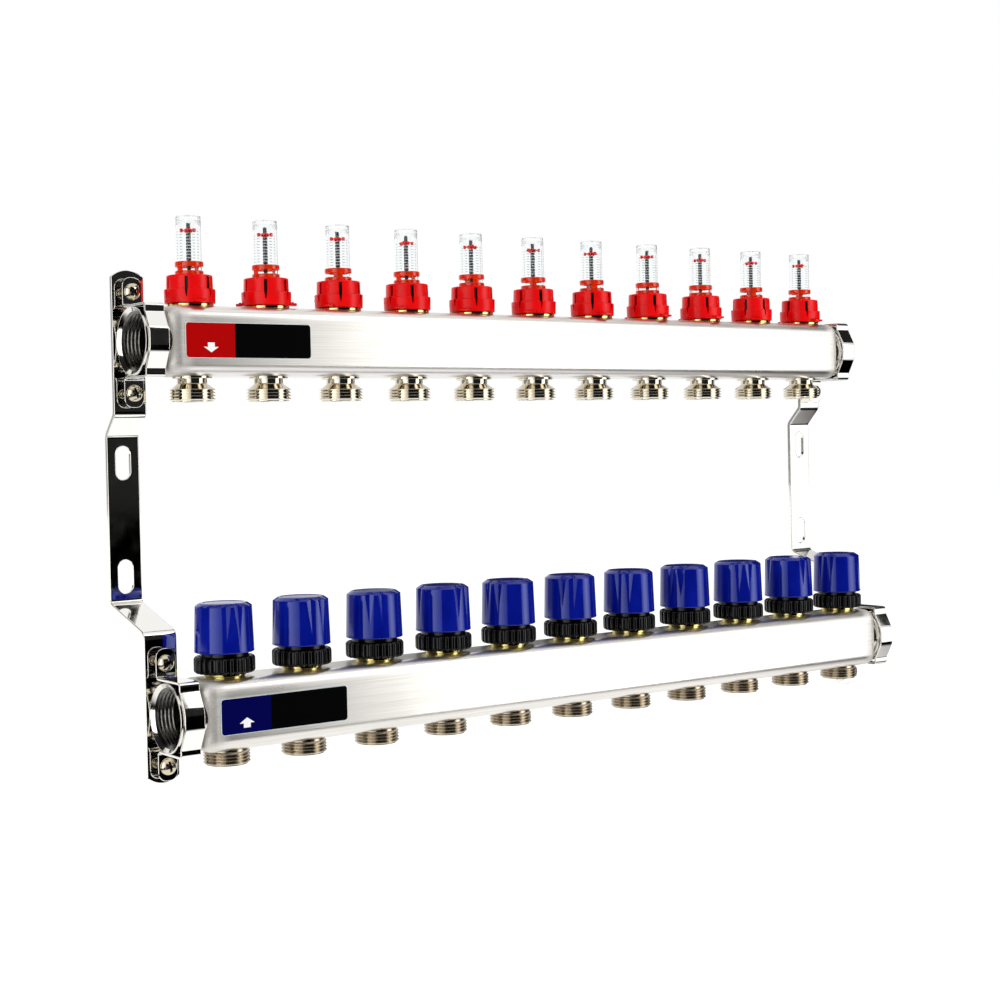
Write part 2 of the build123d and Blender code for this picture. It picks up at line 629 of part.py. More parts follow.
label_x = CIRCUIT_X[0] - LABEL_LEAD + LABEL_LENGTH / 2
plate = extrude(Plane.XZ * RectangleRounded(LABEL_LENGTH, LABEL_HEIGHT, LABEL_ROUND), amount=LABEL_THICK)
write("label_plates", *on_both_bars([Pos(label_x, -BAR_DEPTH / 2, 0) * plate]))

for index, x in enumerate(CIRCUIT_X):
    number = f"{index + 1:02d}"
    collar_turn = COLLAR_TURN[index % len(COLLAR_TURN)]
    cap_turn = CAP_TURN[index % len(CAP_TURN)]
    write(f"flow_collar_{number}", at_supply(flow_collar(collar_turn), x))
    write(f"flow_indicator_{number}", at_supply(flow_indicator(), x))
    write(f"return_cap_{number}", at_return(return_cap(cap_turn), x))
    write(f"valve_stem_{number}", at_return(valve_stem(), x))
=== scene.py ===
# %% [markdown]
# # An underfloor heating manifold
#
# A manifold shares warm water out to the heating loops of a floor. The upper bar sends it
# out, and a small flow meter over each outlet shows how much goes by. The lower bar takes it
# back, and a blue hand cap over each outlet opens or shuts that loop's valve. Both bars hang
# on two bent steel strips that are screwed to the wall.
#
# The construction is already there as a fixed frame, in metres. This lesson dresses it: each
# piece that shows gets rounded edges, a real finish, and rides on the part that carries it.

# %% Load the frame
import math

import bmesh
import bpy
from mathutils import Matrix, Vector


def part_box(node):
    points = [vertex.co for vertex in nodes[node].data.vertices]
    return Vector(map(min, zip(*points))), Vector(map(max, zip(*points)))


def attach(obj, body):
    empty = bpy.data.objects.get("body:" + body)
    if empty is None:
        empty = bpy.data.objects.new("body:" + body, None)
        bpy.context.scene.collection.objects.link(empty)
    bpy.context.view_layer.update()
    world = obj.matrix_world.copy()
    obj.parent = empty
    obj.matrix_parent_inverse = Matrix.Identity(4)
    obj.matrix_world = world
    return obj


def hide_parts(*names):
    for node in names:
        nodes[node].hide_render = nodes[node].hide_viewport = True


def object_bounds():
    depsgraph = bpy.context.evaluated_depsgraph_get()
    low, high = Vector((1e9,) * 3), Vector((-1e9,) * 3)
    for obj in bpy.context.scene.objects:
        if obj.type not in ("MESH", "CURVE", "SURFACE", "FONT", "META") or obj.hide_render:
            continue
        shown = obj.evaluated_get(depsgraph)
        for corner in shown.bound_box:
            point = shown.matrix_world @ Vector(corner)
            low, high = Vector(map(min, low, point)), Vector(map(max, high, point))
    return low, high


scene = bpy.context.scene
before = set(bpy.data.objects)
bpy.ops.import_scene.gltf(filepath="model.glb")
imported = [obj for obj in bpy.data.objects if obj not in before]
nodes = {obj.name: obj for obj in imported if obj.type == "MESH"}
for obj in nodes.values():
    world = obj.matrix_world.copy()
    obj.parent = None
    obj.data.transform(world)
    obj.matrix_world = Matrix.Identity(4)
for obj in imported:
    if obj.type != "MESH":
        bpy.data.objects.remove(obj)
cad_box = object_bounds()
print("the frame holds", len(nodes), "nodes")

# %% [markdown]
# ## Where everything stands
#
# A frame piece's place is in its mesh, so the middle of a node's box tells where its axis is.
# The valve stems give the circuits along the bars, and the bars give the two heights. Pieces
# are drawn about their own bar axis, in millimetres, and then moved to their circuit.

# %% Places
MM = 0.001


def middle(node):
    """Middle of a frame node's box, in metres."""
    low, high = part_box(node)
    return (low + high) / 2


CIRCUITS = [f"{number:02d}" for number in range(1, 12)]
SUPPLY = [Vector((middle(f"flow_indicator_{c}").x, *middle("supply_bar").yz)) for c in CIRCUITS]
RETURN = [Vector((middle(f"valve_stem_{c}").x, *middle("return_bar").yz)) for c in CIRCUITS]
BAR_AXES = (middle("supply_bar"), middle("return_bar"))
HALF_BAR = (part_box("supply_bar")[1].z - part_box("supply_bar")[0].z) / 2 / MM
print("circuits", len(SUPPLY), "- half bar height", round(HALF_BAR, 2), "mm")

# %% [markdown]
# ## Tools for drawing
#
# Most pieces here are turned or moulded round, so one helper spins an outline of (radius,
# height) points about the Z axis. A third number on a point rounds that corner before the
# spin: real edges are never knife sharp, and the small rounding is what catches the light.

# %% Turned solids


def rounded(mesh, geometry, radius, segments=3, affect="EDGES", **options):
    """Bevels edges or corners round, to this radius in millimetres."""
    bmesh.ops.bevel(mesh, geom=geometry, offset=radius * MM, offset_type="OFFSET", segments=segments,
                    profile=0.5, affect=affect, material=-1, **options)


def whole_turn(mesh, steps):
    """Spins everything in a mesh once round Z and closes it to a solid."""
    bmesh.ops.spin(mesh, geom=mesh.verts[:] + mesh.edges[:], cent=(0, 0, 0), axis=(0, 0, 1),
                   angle=math.tau, steps=steps, use_merge=True)
    bmesh.ops.remove_doubles(mesh, verts=mesh.verts, dist=0.0005 * MM)
    bmesh.ops.recalc_face_normals(mesh, faces=mesh.faces)
    return mesh


def outline_wire(mesh, points, closed=True):
    """Draws a wire through (radius, height[, rounding]) points in the XZ plane, in millimetres."""
    corners = [mesh.verts.new((p[0] * MM, 0, p[1] * MM)) for p in points]
    ends = corners[1:] + corners[:1] if closed else corners[1:]
    for start, end in zip(corners, ends):
        mesh.edges.new((start, end))
    for corner, point in zip(corners, points):
        if len(point) > 2:
            rounded(mesh, [corner], point[2], affect="VERTICES")


def spun(points, steps=96):
    """A round solid from a closed outline; points of radius 0 are left open and meet on the axis."""
    mesh = bmesh.new()
    outline_wire(mesh, points, closed=points[0][0] > 0 or points[-1][0] > 0)
    return whole_turn(mesh, steps)


def rod(radius, low, high, steps=48):
    """A plain round bar about Z, used to cut holes."""
    return spun([(0, low), (radius, low), (radius, high), (0, high)], steps)


# %% Blocks and places


def block(size, centre=(0, 0, 0), edge=0.0, segments=2, only=None):
    """A box in millimetres, with its edges rounded, or only those that run along one axis."""
    mesh = bmesh.new()
    bmesh.ops.create_cube(mesh, size=1)
    bmesh.ops.scale(mesh, vec=Vector(size) * MM, verts=mesh.verts)
    bmesh.ops.translate(mesh, vec=Vector(centre) * MM, verts=mesh.verts)
    edges = [line for line in mesh.edges
             if only is None or abs(line.verts[0].co[only] - line.verts[1].co[only]) > 0.1 * MM]
    if edge:
        rounded(mesh, edges, edge, segments)
    return mesh


def copied(mesh, place):
    """A copy of a bmesh, moved or turned by a matrix."""
    copy = mesh.copy()
    bmesh.ops.transform(copy, matrix=place, verts=copy.verts)
    return copy


def joined(meshes):
    """One bmesh that holds several, which are freed."""
    whole = bmesh.new()
    for mesh in meshes:
        part = stored("part", mesh)
        whole.from_mesh(part)
        bpy.data.meshes.remove(part)
    return whole


def turn(degrees, axis="Z"):
    return Matrix.Rotation(math.radians(degrees), 4, axis)


def shift(x, y, z):
    """A move by millimetres."""
    return Matrix.Translation(Vector((x, y, z)) * MM)


def at(place, degrees=0):
    """A move to a place in metres, after a turn about Z."""
    return Matrix.Translation(place) @ turn(degrees)


def along(mesh, places):
    """Copies of a bmesh at each place, as one bmesh."""
    return joined([copied(mesh, at(place)) for place in places])


def stored(name, mesh):
    """Mesh data made from a bmesh, which is freed."""
    data = bpy.data.meshes.new(name)
    mesh.to_mesh(data)
    mesh.free()
    return data


def stood(name, data):
    """A new object in the scene."""
    thing = bpy.data.objects.new(name, data)
    scene.collection.objects.link(thing)
    return thing


# %% Finished pieces


def piece(mesh, name, material, replaces=(), body="manifold", angle=35, flats=False):
    """Makes a bmesh a finished object that rides on a body and stands for its frame nodes.

    With flats, the big flat faces keep their own normal and only the roundings are shaded round.
    """
    data = stored(name, mesh)
    data.shade_smooth()
    data.set_sharp_from_angle(angle=math.radians(angle))
    thing = stood(name, data)
    for shade in material if isinstance(material, (list, tuple)) else [material]:
        data.materials.append(shade)
    if flats:
        normals = thing.modifiers.new("flats", "WEIGHTED_NORMAL")
        normals.mode, normals.weight, normals.keep_sharp = "FACE_AREA", 50, True
    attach(thing, body)
    if replaces:
        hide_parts(*replaces)
    return thing


# %% Cuts and edges


def cut(mesh, tools):
    """Takes the tools away from a solid, with an exact Boolean."""
    solid, knife = (stood(label, stored(label, source))
                    for label, source in (("solid", mesh), ("tools", joined(tools))))
    step = solid.modifiers.new("cut", "BOOLEAN")
    step.operation, step.solver, step.object = "DIFFERENCE", "EXACT", knife
    step.use_self = True
    view = bpy.context.evaluated_depsgraph_get()
    result = bmesh.new()
    result.from_mesh(solid.evaluated_get(view).to_mesh())
    for thing in (solid, knife):
        bpy.data.objects.remove(thing)
    bmesh.ops.remove_doubles(result, verts=result.verts, dist=0.002 * MM)
    return result


def soften(mesh, radius, segments=3, sharper_than=50):
    """Rounds every edge whose faces meet at more than this angle."""
    edges = [edge for edge in mesh.edges
             if len(edge.link_faces) == 2 and edge.calc_face_angle() > math.radians(sharper_than)]
    rounded(mesh, edges, radius, segments, clamp_overlap=True)
    return mesh


def marked(mesh, test):
    """Gives the second material to each face whose middle, in millimetres, passes the test."""
    for face in mesh.faces:
        face.material_index = int(test(face.calc_center_median() / MM))
    return mesh


# %% [markdown]
# ## Finishes
#
# Each material starts from what the maker used. Colours are written as sRGB hex and turned
# to linear once. One helper adds a shader node with its settings and links. A pattern is
# written as the width of its grains on X, Y and Z in millimetres, and a number that shifts
# it, so that no two patterns fall together. It is noise on Object coordinates, which are the
# frame's metres, and only the middle of its range is used, since it seldom leaves that.

# %% Material helpers


def colour(hex_code):
    """An sRGB hex colour as linear RGBA."""
    parts = [int(hex_code[i:i + 2], 16) / 255 for i in (1, 3, 5)]
    linear = [p / 12.92 if p <= 0.04045 else ((p + 0.055) / 1.055) ** 2.4 for p in parts]
    return (*linear, 1.0)


TIMES, PLUS, LARGER, OVER, SIZE = (
    {"operation": name} for name in ("MULTIPLY", "ADD", "MAXIMUM", "GREATER_THAN", "ABSOLUTE"))
NUMBERS, COLOURS = {"data_type": "FLOAT"}, {"data_type": "RGBA"}
SMOOTH = {"interpolation_type": "SMOOTHSTEP"}


def add(tree, kind, settings=None, **inputs):
    """Adds a node with its settings; an input is a value, a socket, or a node's first output."""
    node = tree.nodes.new("ShaderNode" + kind)
    for key, value in (settings or {}).items():
        setattr(node, key, value)
    for key, value in inputs.items():
        socket = node.inputs[int(key[1:]) if key[1:].isdigit() else key.replace("_", " ")]
        if isinstance(value, bpy.types.Node):
            value = value.outputs[0]
        if isinstance(value, bpy.types.NodeSocket):
            tree.links.new(value, socket)
        else:
            socket.default_value = value
    return node


def position(tree):
    """X, Y and Z of a point of the surface, in metres."""
    return add(tree, "SeparateXYZ", Vector=add(tree, "TexCoord").outputs["Object"]).outputs


def grain(tree, pattern):
    """Noise from 0 to 1, with grains of the pattern's size."""
    *across, seed = pattern
    sized = add(tree, "Mapping", Vector=add(tree, "TexCoord").outputs["Object"],
                Location=(seed, seed, seed), Scale=[1 / (size * MM) for size in across])
    return add(tree, "TexNoise", Vector=sized, Scale=1.0, Detail=3.0).outputs["Fac"]


def varied(tree, pattern, low, high):
    """A number that wanders from low to high with a pattern."""
    return add(tree, "MapRange", Value=grain(tree, pattern), From_Min=0.3, From_Max=0.7,
               To_Min=low, To_Max=high).outputs[0]


def finish(name, base, roughness, mottle=None, worn=None, relief=None, **inputs):
    """A material with one Principled shader, and the patterns that vary it.

    mottle is a pattern and its two colours, worn is a pattern and its two roughnesses, and
    relief is a pattern, its height in millimetres and its strength.
    """
    made = bpy.data.materials.new(name)
    made.use_nodes = True
    made.diffuse_color = colour(base)
    tree = made.node_tree
    tree.nodes.clear()
    shader = add(tree, "BsdfPrincipled", Base_Color=colour(base), Roughness=roughness, **inputs)
    add(tree, "OutputMaterial", Surface=shader)
    if mottle:
        pattern, first, second = mottle
        mixed = add(tree, "Mix", COLOURS, Factor=varied(tree, pattern, 0, 1),
                    _6=colour(first), _7=colour(second))
        tree.links.new(mixed.outputs[2], shader.inputs["Base Color"])
    if worn:
        tree.links.new(varied(tree, *worn), shader.inputs["Roughness"])
    if relief:
        pattern, height, strength = relief
        raised = add(tree, "Bump", Height=grain(tree, pattern), Distance=height * MM, Strength=strength)
        tree.links.new(raised.outputs[0], shader.inputs["Normal"])
    return made


def shader_of(made):
    """A material's tree and its shader, for what finish doesn't cover."""
    return made.node_tree, made.node_tree.nodes["Principled BSDF"]


# %% [markdown]
# ### Metals
#
# The bars are drawn stainless steel tube, ground along their length: long fine streaks, a soft
# warm sheen and no mirror, and duller still at the ends, which are ground by hand. The strips
# and straps are bright chrome over pressed steel. The outlets are brass with nickel on it, a
# little warmer: the supply's are turned bright, and the return's are tumbled dull. The end
# sockets are polished, and the valve inserts are bare brass. A real grinding streak is 0.05 to
# 0.1 mm wide; it is drawn 0.5 mm wide, since a finer one would not show.

# %% Metal finishes
STREAKS = (60, 0.5, 0.5, 0)
DULL_FROM, DULL_TO = 0.256, 0.267
brushed = finish("stainless_steel_brushed", "#F2EFEA", 0.24, Metallic=1.0,
                 mottle=(STREAKS, "#DCD8D2", "#F0EDE8"), relief=(STREAKS, 0.012, 0.25))
tree, shader = shader_of(brushed)
from_middle = add(tree, "Math", SIZE, _0=position(tree)["X"])
dull_end = add(tree, "MapRange", SMOOTH, Value=from_middle, From_Min=DULL_FROM, From_Max=DULL_TO,
               To_Min=0.0, To_Max=0.3)
sheen = add(tree, "Math", PLUS, _0=varied(tree, (35, 12, 12, 4), 0.27, 0.33), _1=dull_end)
tree.links.new(sheen.outputs[0], shader.inputs["Roughness"])

chrome = finish("chrome_plated_pressed_steel", "#F3F1EC", 0.05, Metallic=1.0,
                worn=((9, 9, 9, 1), 0.03, 0.1), relief=((14, 14, 14, 2), 0.05, 0.15))
LATHE_RINGS = (0.7, 0.7, 0.35, 3)
nickel = finish("nickel_plated_turned_brass", "#DFD8C8", 0.06, Metallic=1.0,
                mottle=(LATHE_RINGS, "#D6CDB8", "#E8E2D6"), worn=(LATHE_RINGS, 0.04, 0.09))
dull_nickel = finish("nickel_plated_tumbled_brass", "#AC9F88", 0.2, Metallic=1.0,
                     mottle=((0.8, 0.8, 0.5, 9), "#A89B86", "#C8BDAA"),
                     worn=((1.5, 1.5, 1.5, 10), 0.16, 0.26))
polished = finish("nickel_plated_polished_steel", "#E6E3DC", 0.08, Metallic=1.0,
                  worn=((3, 3, 3, 5), 0.06, 0.14))
# the dark tapped thread inside the sockets; on the screws it is painted shade in the cross recess
dark_thread_and_recess_shade = finish("steel_tapped_thread_dark_and_painted_recess_shade", "#6E6C69", 0.2, Metallic=1.0,
                      mottle=((2, 2, 2, 25), "#5C5A57", "#7E7C78"))
screw_plate = finish("zinc_plated_cold_headed_steel", "#D2C8B0", 0.1, Metallic=1.0,
                     worn=((1.2, 1.2, 1.2, 6), 0.06, 0.16))
TOOL_MARKS = (0.8, 0.8, 0.25, 7)
brass = finish("brass_turned_bare", "#EADB8C", 0.07, Metallic=1.0,
               mottle=(TOOL_MARKS, "#E0CD78", "#F0E29C"), worn=(TOOL_MARKS, 0.05, 0.11))
steel = finish("stainless_steel_turned", "#C4C4C4", 0.2, Metallic=1.0,
               worn=((0.6, 0.6, 0.3, 8), 0.15, 0.28))
print("metals ready")

# %% [markdown]
# ### Plastics and rubber
#
# The hand collars are ABS from an etched mould, so they are nearly matt with a very fine
# grain. The blue caps come from a polished mould and shine, and what they mirror takes on some
# of their blue. The black rings are glass-filled nylon, with a dull sheen. The sight glasses
# are clear polycarbonate, with flow marks in their tips, and the clips are a tinted one. The
# glasses bend light less than the real plastic, which would draw their domes too dark.

# %% Plastic finishes
ETCHING = (0.35, 0.35, 0.35, 11)
red_abs = finish("ABS_red_etched_mould", "#EA0306", 0.24, Specular_IOR_Level=0.2,
                 mottle=((7, 7, 7, 12), "#E00205", "#F20408"), worn=(ETCHING, 0.2, 0.3),
                 relief=(ETCHING, 0.03, 0.3))
FLOW = (10, 10, 16, 13)
blue_abs = finish("ABS_blue_polished_mould", "#041486", 0.09, Specular_IOR_Level=0.7,
                  Specular_Tint=colour("#CBD8FF"), mottle=(FLOW, "#03107C", "#061890"),
                  worn=(FLOW, 0.07, 0.12), relief=((2.5, 2.5, 2.5, 14), 0.02, 0.2))
FIBRES = (0.5, 0.5, 1.2, 15)
nylon = finish("nylon_black_glass_filled", "#030304", 0.2, Specular_IOR_Level=0.3,
               mottle=(FIBRES, "#020203", "#060608"), worn=(FIBRES, 0.16, 0.24),
               relief=(FIBRES, 0.02, 0.2))
rubber = finish("EPDM_black_moulded", "#161616", 0.6, relief=((0.4, 0.4, 0.4, 16), 0.02, 0.3))

clear = finish("polycarbonate_clear_moulded", "#FBFDFD", 0.02, IOR=1.22, Transmission_Weight=1.0,
               worn=((4, 4, 4, 17), 0.0, 0.04))
tree, shader = shader_of(clear)
TIP_FROM, TIP_FADE = SUPPLY[0].z + 66.5 * MM, 1.5 * MM
near_tip = add(tree, "MapRange", Value=position(tree)["Z"], From_Min=TIP_FROM,
               From_Max=TIP_FROM + TIP_FADE)
flow_marks = add(tree, "Math", TIMES, _0=near_tip, _1=grain(tree, (0.9, 0.9, 1.2, 26)))
uneven = add(tree, "Bump", Height=flow_marks, Distance=0.5 * MM, Strength=1.0)
tree.links.new(uneven.outputs[0], shader.inputs["Normal"])

tinted = finish("polycarbonate_orange_red_translucent", "#FF3A0A", 0.05, IOR=1.49,
                Transmission_Weight=0.55, mottle=((3, 3, 3, 18), "#F83206", "#FF4614"))
acetal = finish("acetal_dark_moulded", "#030304", 0.15, Specular_IOR_Level=0.6,
                mottle=((1, 1, 1, 19), "#020203", "#050507"))
white_acetal = finish("acetal_pale_moulded", "#D8DADC", 0.35,
                      mottle=((1, 1, 1, 20), "#CCD0D4", "#E4E6E8"))
scale_ink = finish("scale_ink_grey_printed", "#6A6C70", 0.5,
                   mottle=((0.5, 0.5, 0.5, 21), "#5C5E62", "#7C7E82"))
print("plastics ready")

# %% [markdown]
# ### The printed label film
#
# The label is one film with a coloured field at the left, red on the supply and navy on the
# return, and a black field at the right. The two fields are one mix on the X coordinate,
# and the height above the wall slots tells supply from return. The arrow is a raised print of
# its own. The rest of both fields is bare.

# %% Film finish
LABEL_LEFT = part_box("label_plates")[0].x
COLOURED_FIELD = 31.3
film = finish("printed_film_satin", "#050506", 0.45, Specular_IOR_Level=0.02,
              worn=((2, 2, 2, 22), 0.4, 0.5))
tree, shader = shader_of(film)
where = position(tree)
upper = add(tree, "Math", OVER, _0=where["Z"], _1=0.0)
coloured = add(tree, "Mix", COLOURS, Factor=upper, _6=colour("#00014B"), _7=colour("#AE0203"))
right = add(tree, "Math", OVER, _0=where["X"], _1=LABEL_LEFT + COLOURED_FIELD * MM)
fields = add(tree, "Mix", COLOURS, Factor=right, _6=coloured.outputs[2], _7=colour("#020202"))
tree.links.new(fields.outputs[2], shader.inputs["Base Color"])

film_edge = finish("printed_film_cut_edge", "#D6E4E4", 0.3,
                   mottle=((2, 2, 2, 23), "#C4D6D8", "#E4ECEC"))
white_ink = finish("screen_print_white", "#FAFAFA", 0.4, mottle=((1, 1, 1, 24), "#F4F4F4", "#FFFFFF"))
print("label film ready")

# %% [markdown]
# ## The return caps
#
# Each blue cap is a tapered shell with a crisp bevelled crown and a flat disc on top. Pairs of
# finger grooves run down its side: each is a wide V at the crown that gets shallower and ends
# in a point. The shell is a spin, and each groove is a slim pyramid that is cut away, because
# its flat sides leave the straight edges of the real groove. Cutting is slow, so one cap is cut
# and the others are turned copies. The frame's caps have the same turn.

# %% Return caps
CAP_TURN = (-9, 5, -28, 13, -72, -43, -52, -64, -28, 6, -76)
CAP_BASE, CAP_TOP, CAP_RADIUS, CROWN_RADIUS = 34.15, 61.9, 17.0, 16.15
CROWN_DROP, CROWN_FLAT = 1.9, 13.3
GROOVE_POINT, GROOVE_DEEP, GROOVE_WIDE, GROOVE_LIFT = 41.5, 1.15, 5.9, 0.55


def finger_groove(angle):
    """A pyramid whose ridge sinks from the groove's point on the side to its deep end above."""
    mesh = bmesh.new()
    rise = CAP_TOP - GROOVE_POINT
    point = Vector((CAP_RADIUS - 0.25, 0, GROOVE_POINT))
    ends = [(CROWN_RADIUS - GROOVE_DEEP, 0), (CROWN_RADIUS + GROOVE_LIFT, -GROOVE_WIDE),
            (CROWN_RADIUS + GROOVE_LIFT, GROOVE_WIDE), (CROWN_RADIUS + 3, 0)]
    mesh.verts.new(point * MM)
    for out, side in ends:
        crown = Vector((out, side, CAP_TOP))
        mesh.verts.new((point + (crown - point) * (1 + 3 / rise)) * MM)
    bmesh.ops.convex_hull(mesh, input=mesh.verts)
    return copied(mesh, turn(angle - 90))


def crown_dimple(angle):
    """The small round end of a groove, in the crown's bevel."""
    ball = bmesh.new()
    bmesh.ops.create_icosphere(ball, subdivisions=3, radius=1.45 * MM)
    return copied(ball, turn(angle - 90) @ shift(CROWN_RADIUS - 1.6, 0, CAP_TOP - 0.35))


GROOVE_ANGLES = [pair * 120 + side for pair in range(3) for side in (-13, 13)]
# from the boss that bears on the stem, down the wall and up to the crown
shell = spun([
    (0, 44.65), (6, 44.65, 0.4), (6, 56.65), (10.5, 56.65), (10.5, 41.05), (13.85, 41.05),
    (13.85, CAP_BASE), (16.8, CAP_BASE, 0.3), (CAP_RADIUS + 0.1, CAP_BASE + 0.6, 0.2),
    (CAP_RADIUS - 0.05, CAP_BASE + 1.3, 0.3), (CROWN_RADIUS, CAP_TOP - CROWN_DROP, 0.3),
    (CROWN_FLAT, CAP_TOP, 0.3), (11.4, CAP_TOP, 0.1), (11.2, CAP_TOP - 0.25, 0.1),
    (0, CAP_TOP - 0.25),
], steps=144)
cap_cut = cut(shell, [tool(angle) for angle in GROOVE_ANGLES for tool in (finger_groove, crown_dimple)])
soften(cap_cut, 0.12, 2, 14)
for circuit, place, angle in zip(CIRCUITS, RETURN, CAP_TURN):
    body = f"return_cap_{circuit}"
    piece(copied(cap_cut, at(place, angle)), f"hand_cap_{circuit}", blue_abs,
          [body], body, angle=20)
print("caps made")

# %% [markdown]
# ## The black union rings
#
# The ring screws the valve's head down, so its side has bold ribs for the fingers. It is spun
# with nine steps to a rib, and then the side's points between the ribs are drawn in. A narrower
# neck above it carries the cap, and shows as a dark gap under it.

# %% Union rings
RIBS, RIB_STEPS, RIB_DEPTH, RIB_FOOT = 26, 9, 1.5, 15.6
FLUTE_SHARE, FLUTE_STEEP = 0.62, 1.6
RING_BASE, RING_TOP, RING_RADIUS = 22.5, 31.9, 17.3


def union_ring():
    """A ring with a neck, drawn in between its ribs."""
    mesh = spun([
        (14.9, RING_BASE, 0.2), (16.2, RING_BASE, 0.5), (RING_RADIUS, RING_BASE + 1.2, 0.6),
        (RING_RADIUS, RING_TOP - 1.1, 0.6), (16.2, RING_TOP, 0.4), (15.0, RING_TOP, 0.2),
        (14.8, 31.2), (13.7, 31.2), (13.7, 37.65, 0.4), (12.0, 37.65, 0.3),
        (12.0, 30.75), (14.9, 30.75),
    ], steps=RIBS * RIB_STEPS)
    for point in mesh.verts:
        radius = point.co.xy.length / MM
        if radius > RIB_FOOT:
            phase = math.atan2(point.co.y, point.co.x) / math.tau * RIBS
            rib = min(1.0, max(0.0, FLUTE_SHARE - math.cos(phase * math.tau)) * FLUTE_STEEP)
            point.co.xy *= 1 - RIB_DEPTH * (1 - rib) / radius
    return mesh


piece(along(union_ring(), RETURN), "union_rings_ribbed", nylon,
      ["union_rings"], angle=50)

# %% [markdown]
# ## The brass valve inserts
#
# Turned brass: a shank in the bar, a round foot on it and the threaded head inside the ring.
# Only the foot shows, with a narrow waist where it meets the bar.

# %% Valve inserts
SHANK = [(10.4, 17.8), (9.1, 17.8), (9.1, 19.1), (10.4, 19.1), (10.4, HALF_BAR)]
insert = spun([
    (6, 8), (10.4, 8), *SHANK, (11.1, HALF_BAR, 0.1), (11.1, HALF_BAR + 0.7, 0.1),
    (11.75, HALF_BAR + 0.9, 0.2), (11.75, 23.2, 0.3), (14.85, 23.2, 0.3), (14.85, 30.7, 0.4),
    (3.25, 30.7), (3.25, HALF_BAR), (6, HALF_BAR),
])
piece(along(insert, RETURN), "valve_inserts_turned", brass, ["valve_inserts"])

# %% [markdown]
# ## The flow collars
#
# A collar has two tiers. Six slits cut the upper one and taper to a point in the lower one,
# and two lugs stand out at its foot, each with small teeth for the thumb. The tiers are a
# spin, the slits are wedges cut away, and the lugs are let in. Its inside faces get the black
# nylon as painted shade, so the slits look black.

# %% Flow collars
COLLAR_TURN = (-4, 60, -56, -49, -54, -46, -8, 10, 7, -32, 6)
COLLAR_BASE, LEDGE, COLLAR_TOP = 21.9, 30.0, 38.1
SLIT_WIDTH, SLIT_TOP, SLIT_POINT = 1.9, 36.9, 25.4


def slit():
    """A blade as wide as the slit in the upper tier, that narrows to a point in the lower one."""
    mesh = block((6, SLIT_WIDTH, SLIT_TOP - LEDGE), (13.65, 0, (SLIT_TOP + LEDGE) / 2))
    low = [face for face in mesh.faces if face.normal.z < -0.9]
    grown = bmesh.ops.extrude_face_region(mesh, geom=low)["geom"]
    tip = [item for item in grown if isinstance(item, bmesh.types.BMVert)]
    bmesh.ops.delete(mesh, geom=low, context="FACES_ONLY")
    bmesh.ops.translate(mesh, vec=(0, 0, (SLIT_POINT - LEDGE) * MM), verts=tip)
    bmesh.ops.scale(mesh, vec=(1, 0.3, 1), verts=tip)
    return mesh


def lug():
    """One lug at the front, with rounded corners and four small teeth."""
    parts = [block((8, 3.9, 1.4), (0, -15.95, COLLAR_BASE + 0.7), edge=0.45)]
    parts += [block((1.0, 1.6, 1.0), (x, -15.4, COLLAR_BASE + 1.6), edge=0.4) for x in (-3, -1, 1, 3)]
    return joined(parts)


def gate_mark():
    """The small round stub where the mould was fed, low on the side."""
    stub = spun([(0, 0), (0.55, 0), (0.55, 0.25, 0.1), (0, 0.25)], steps=16)
    return copied(stub, shift(0, -14.55, COLLAR_BASE + 4.6) @ turn(90, "X"))


tiers = spun([
    (9.25, COLLAR_BASE), (14.5, COLLAR_BASE, 0.3), (14.7, LEDGE, 0.45), (13.35, LEDGE, 0.2),
    (13.1, COLLAR_TOP, 0.7), (7.7, COLLAR_TOP, 0.3), (7.7, 36.9), (9.25, 36.9),
], steps=120)
collar_cut = cut(tiers, [copied(slit(), turn(step * 60)) for step in range(6)])
# the collar's inside faces get the black nylon: painted shade, so the slits look black
PAINTED_SHADE_WITHIN, PAINTED_SHADE_FROM, PAINTED_SHADE_TO = 12.9, 23, 37
for face in collar_cut.faces:
    spot = face.calc_center_median() / MM
    reach = max(spot.xy.length, face.verts[0].co.xy.length / MM)
    face.material_index = int(reach < PAINTED_SHADE_WITHIN and PAINTED_SHADE_FROM < spot.z < PAINTED_SHADE_TO)
collar_cut = joined([collar_cut, lug(), copied(lug(), turn(180)), copied(gate_mark(), turn(-60))])
for circuit, place, angle in zip(CIRCUITS, SUPPLY, COLLAR_TURN):
    body = f"flow_collar_{circuit}"
    piece(copied(collar_cut, at(place, angle)), f"hand_collar_{circuit}",
          [red_abs, nylon], [body], body)
print("collars made")

# %% [markdown]
# ## The brass meter bodies, the clips and the glasses
#
# The meter body's flange shows as a thin bright line under each collar. Its column gets the
# black nylon as painted shade, so it shows dark through the slits. The clip is two tinted
# bands that two slim posts join, so daylight shows between them. The glass is a closed tube
# with a real wall, because only a wall bends the light as it does, and its scale is four
# columns of thin printed ticks.

# %% Meter bodies
# from this height up the column gets the black nylon: painted shade seen through the slits
PAINTED_COLUMN_SHADE_FROM = 21.8
meter = marked(spun([
    (6.5, 9), (10.4, 9), *SHANK, (13.3, HALF_BAR, 0.2), (13.5, 21.6, 0.3), (9, 21.6),
    (9, 36.6, 0.3), (7.25, 36.6), (7.25, 33), (1.8, 33), (1.8, 30), (6.5, 30),
]), lambda spot: spot.z > PAINTED_COLUMN_SHADE_FROM)
piece(along(meter, SUPPLY), "meter_bodies_turned", [brass, nylon], ["flow_meter_bodies"])

# %% Clip rings
CLIP_TURN = (-70, -80, -25, -75, -12, -36, -25, 48, 55, -33, -50)
CLIP_BASE, CLIP_TOP = 38.4, 46.0
GAP_LOW, GAP_HIGH = 40.6, 43.0
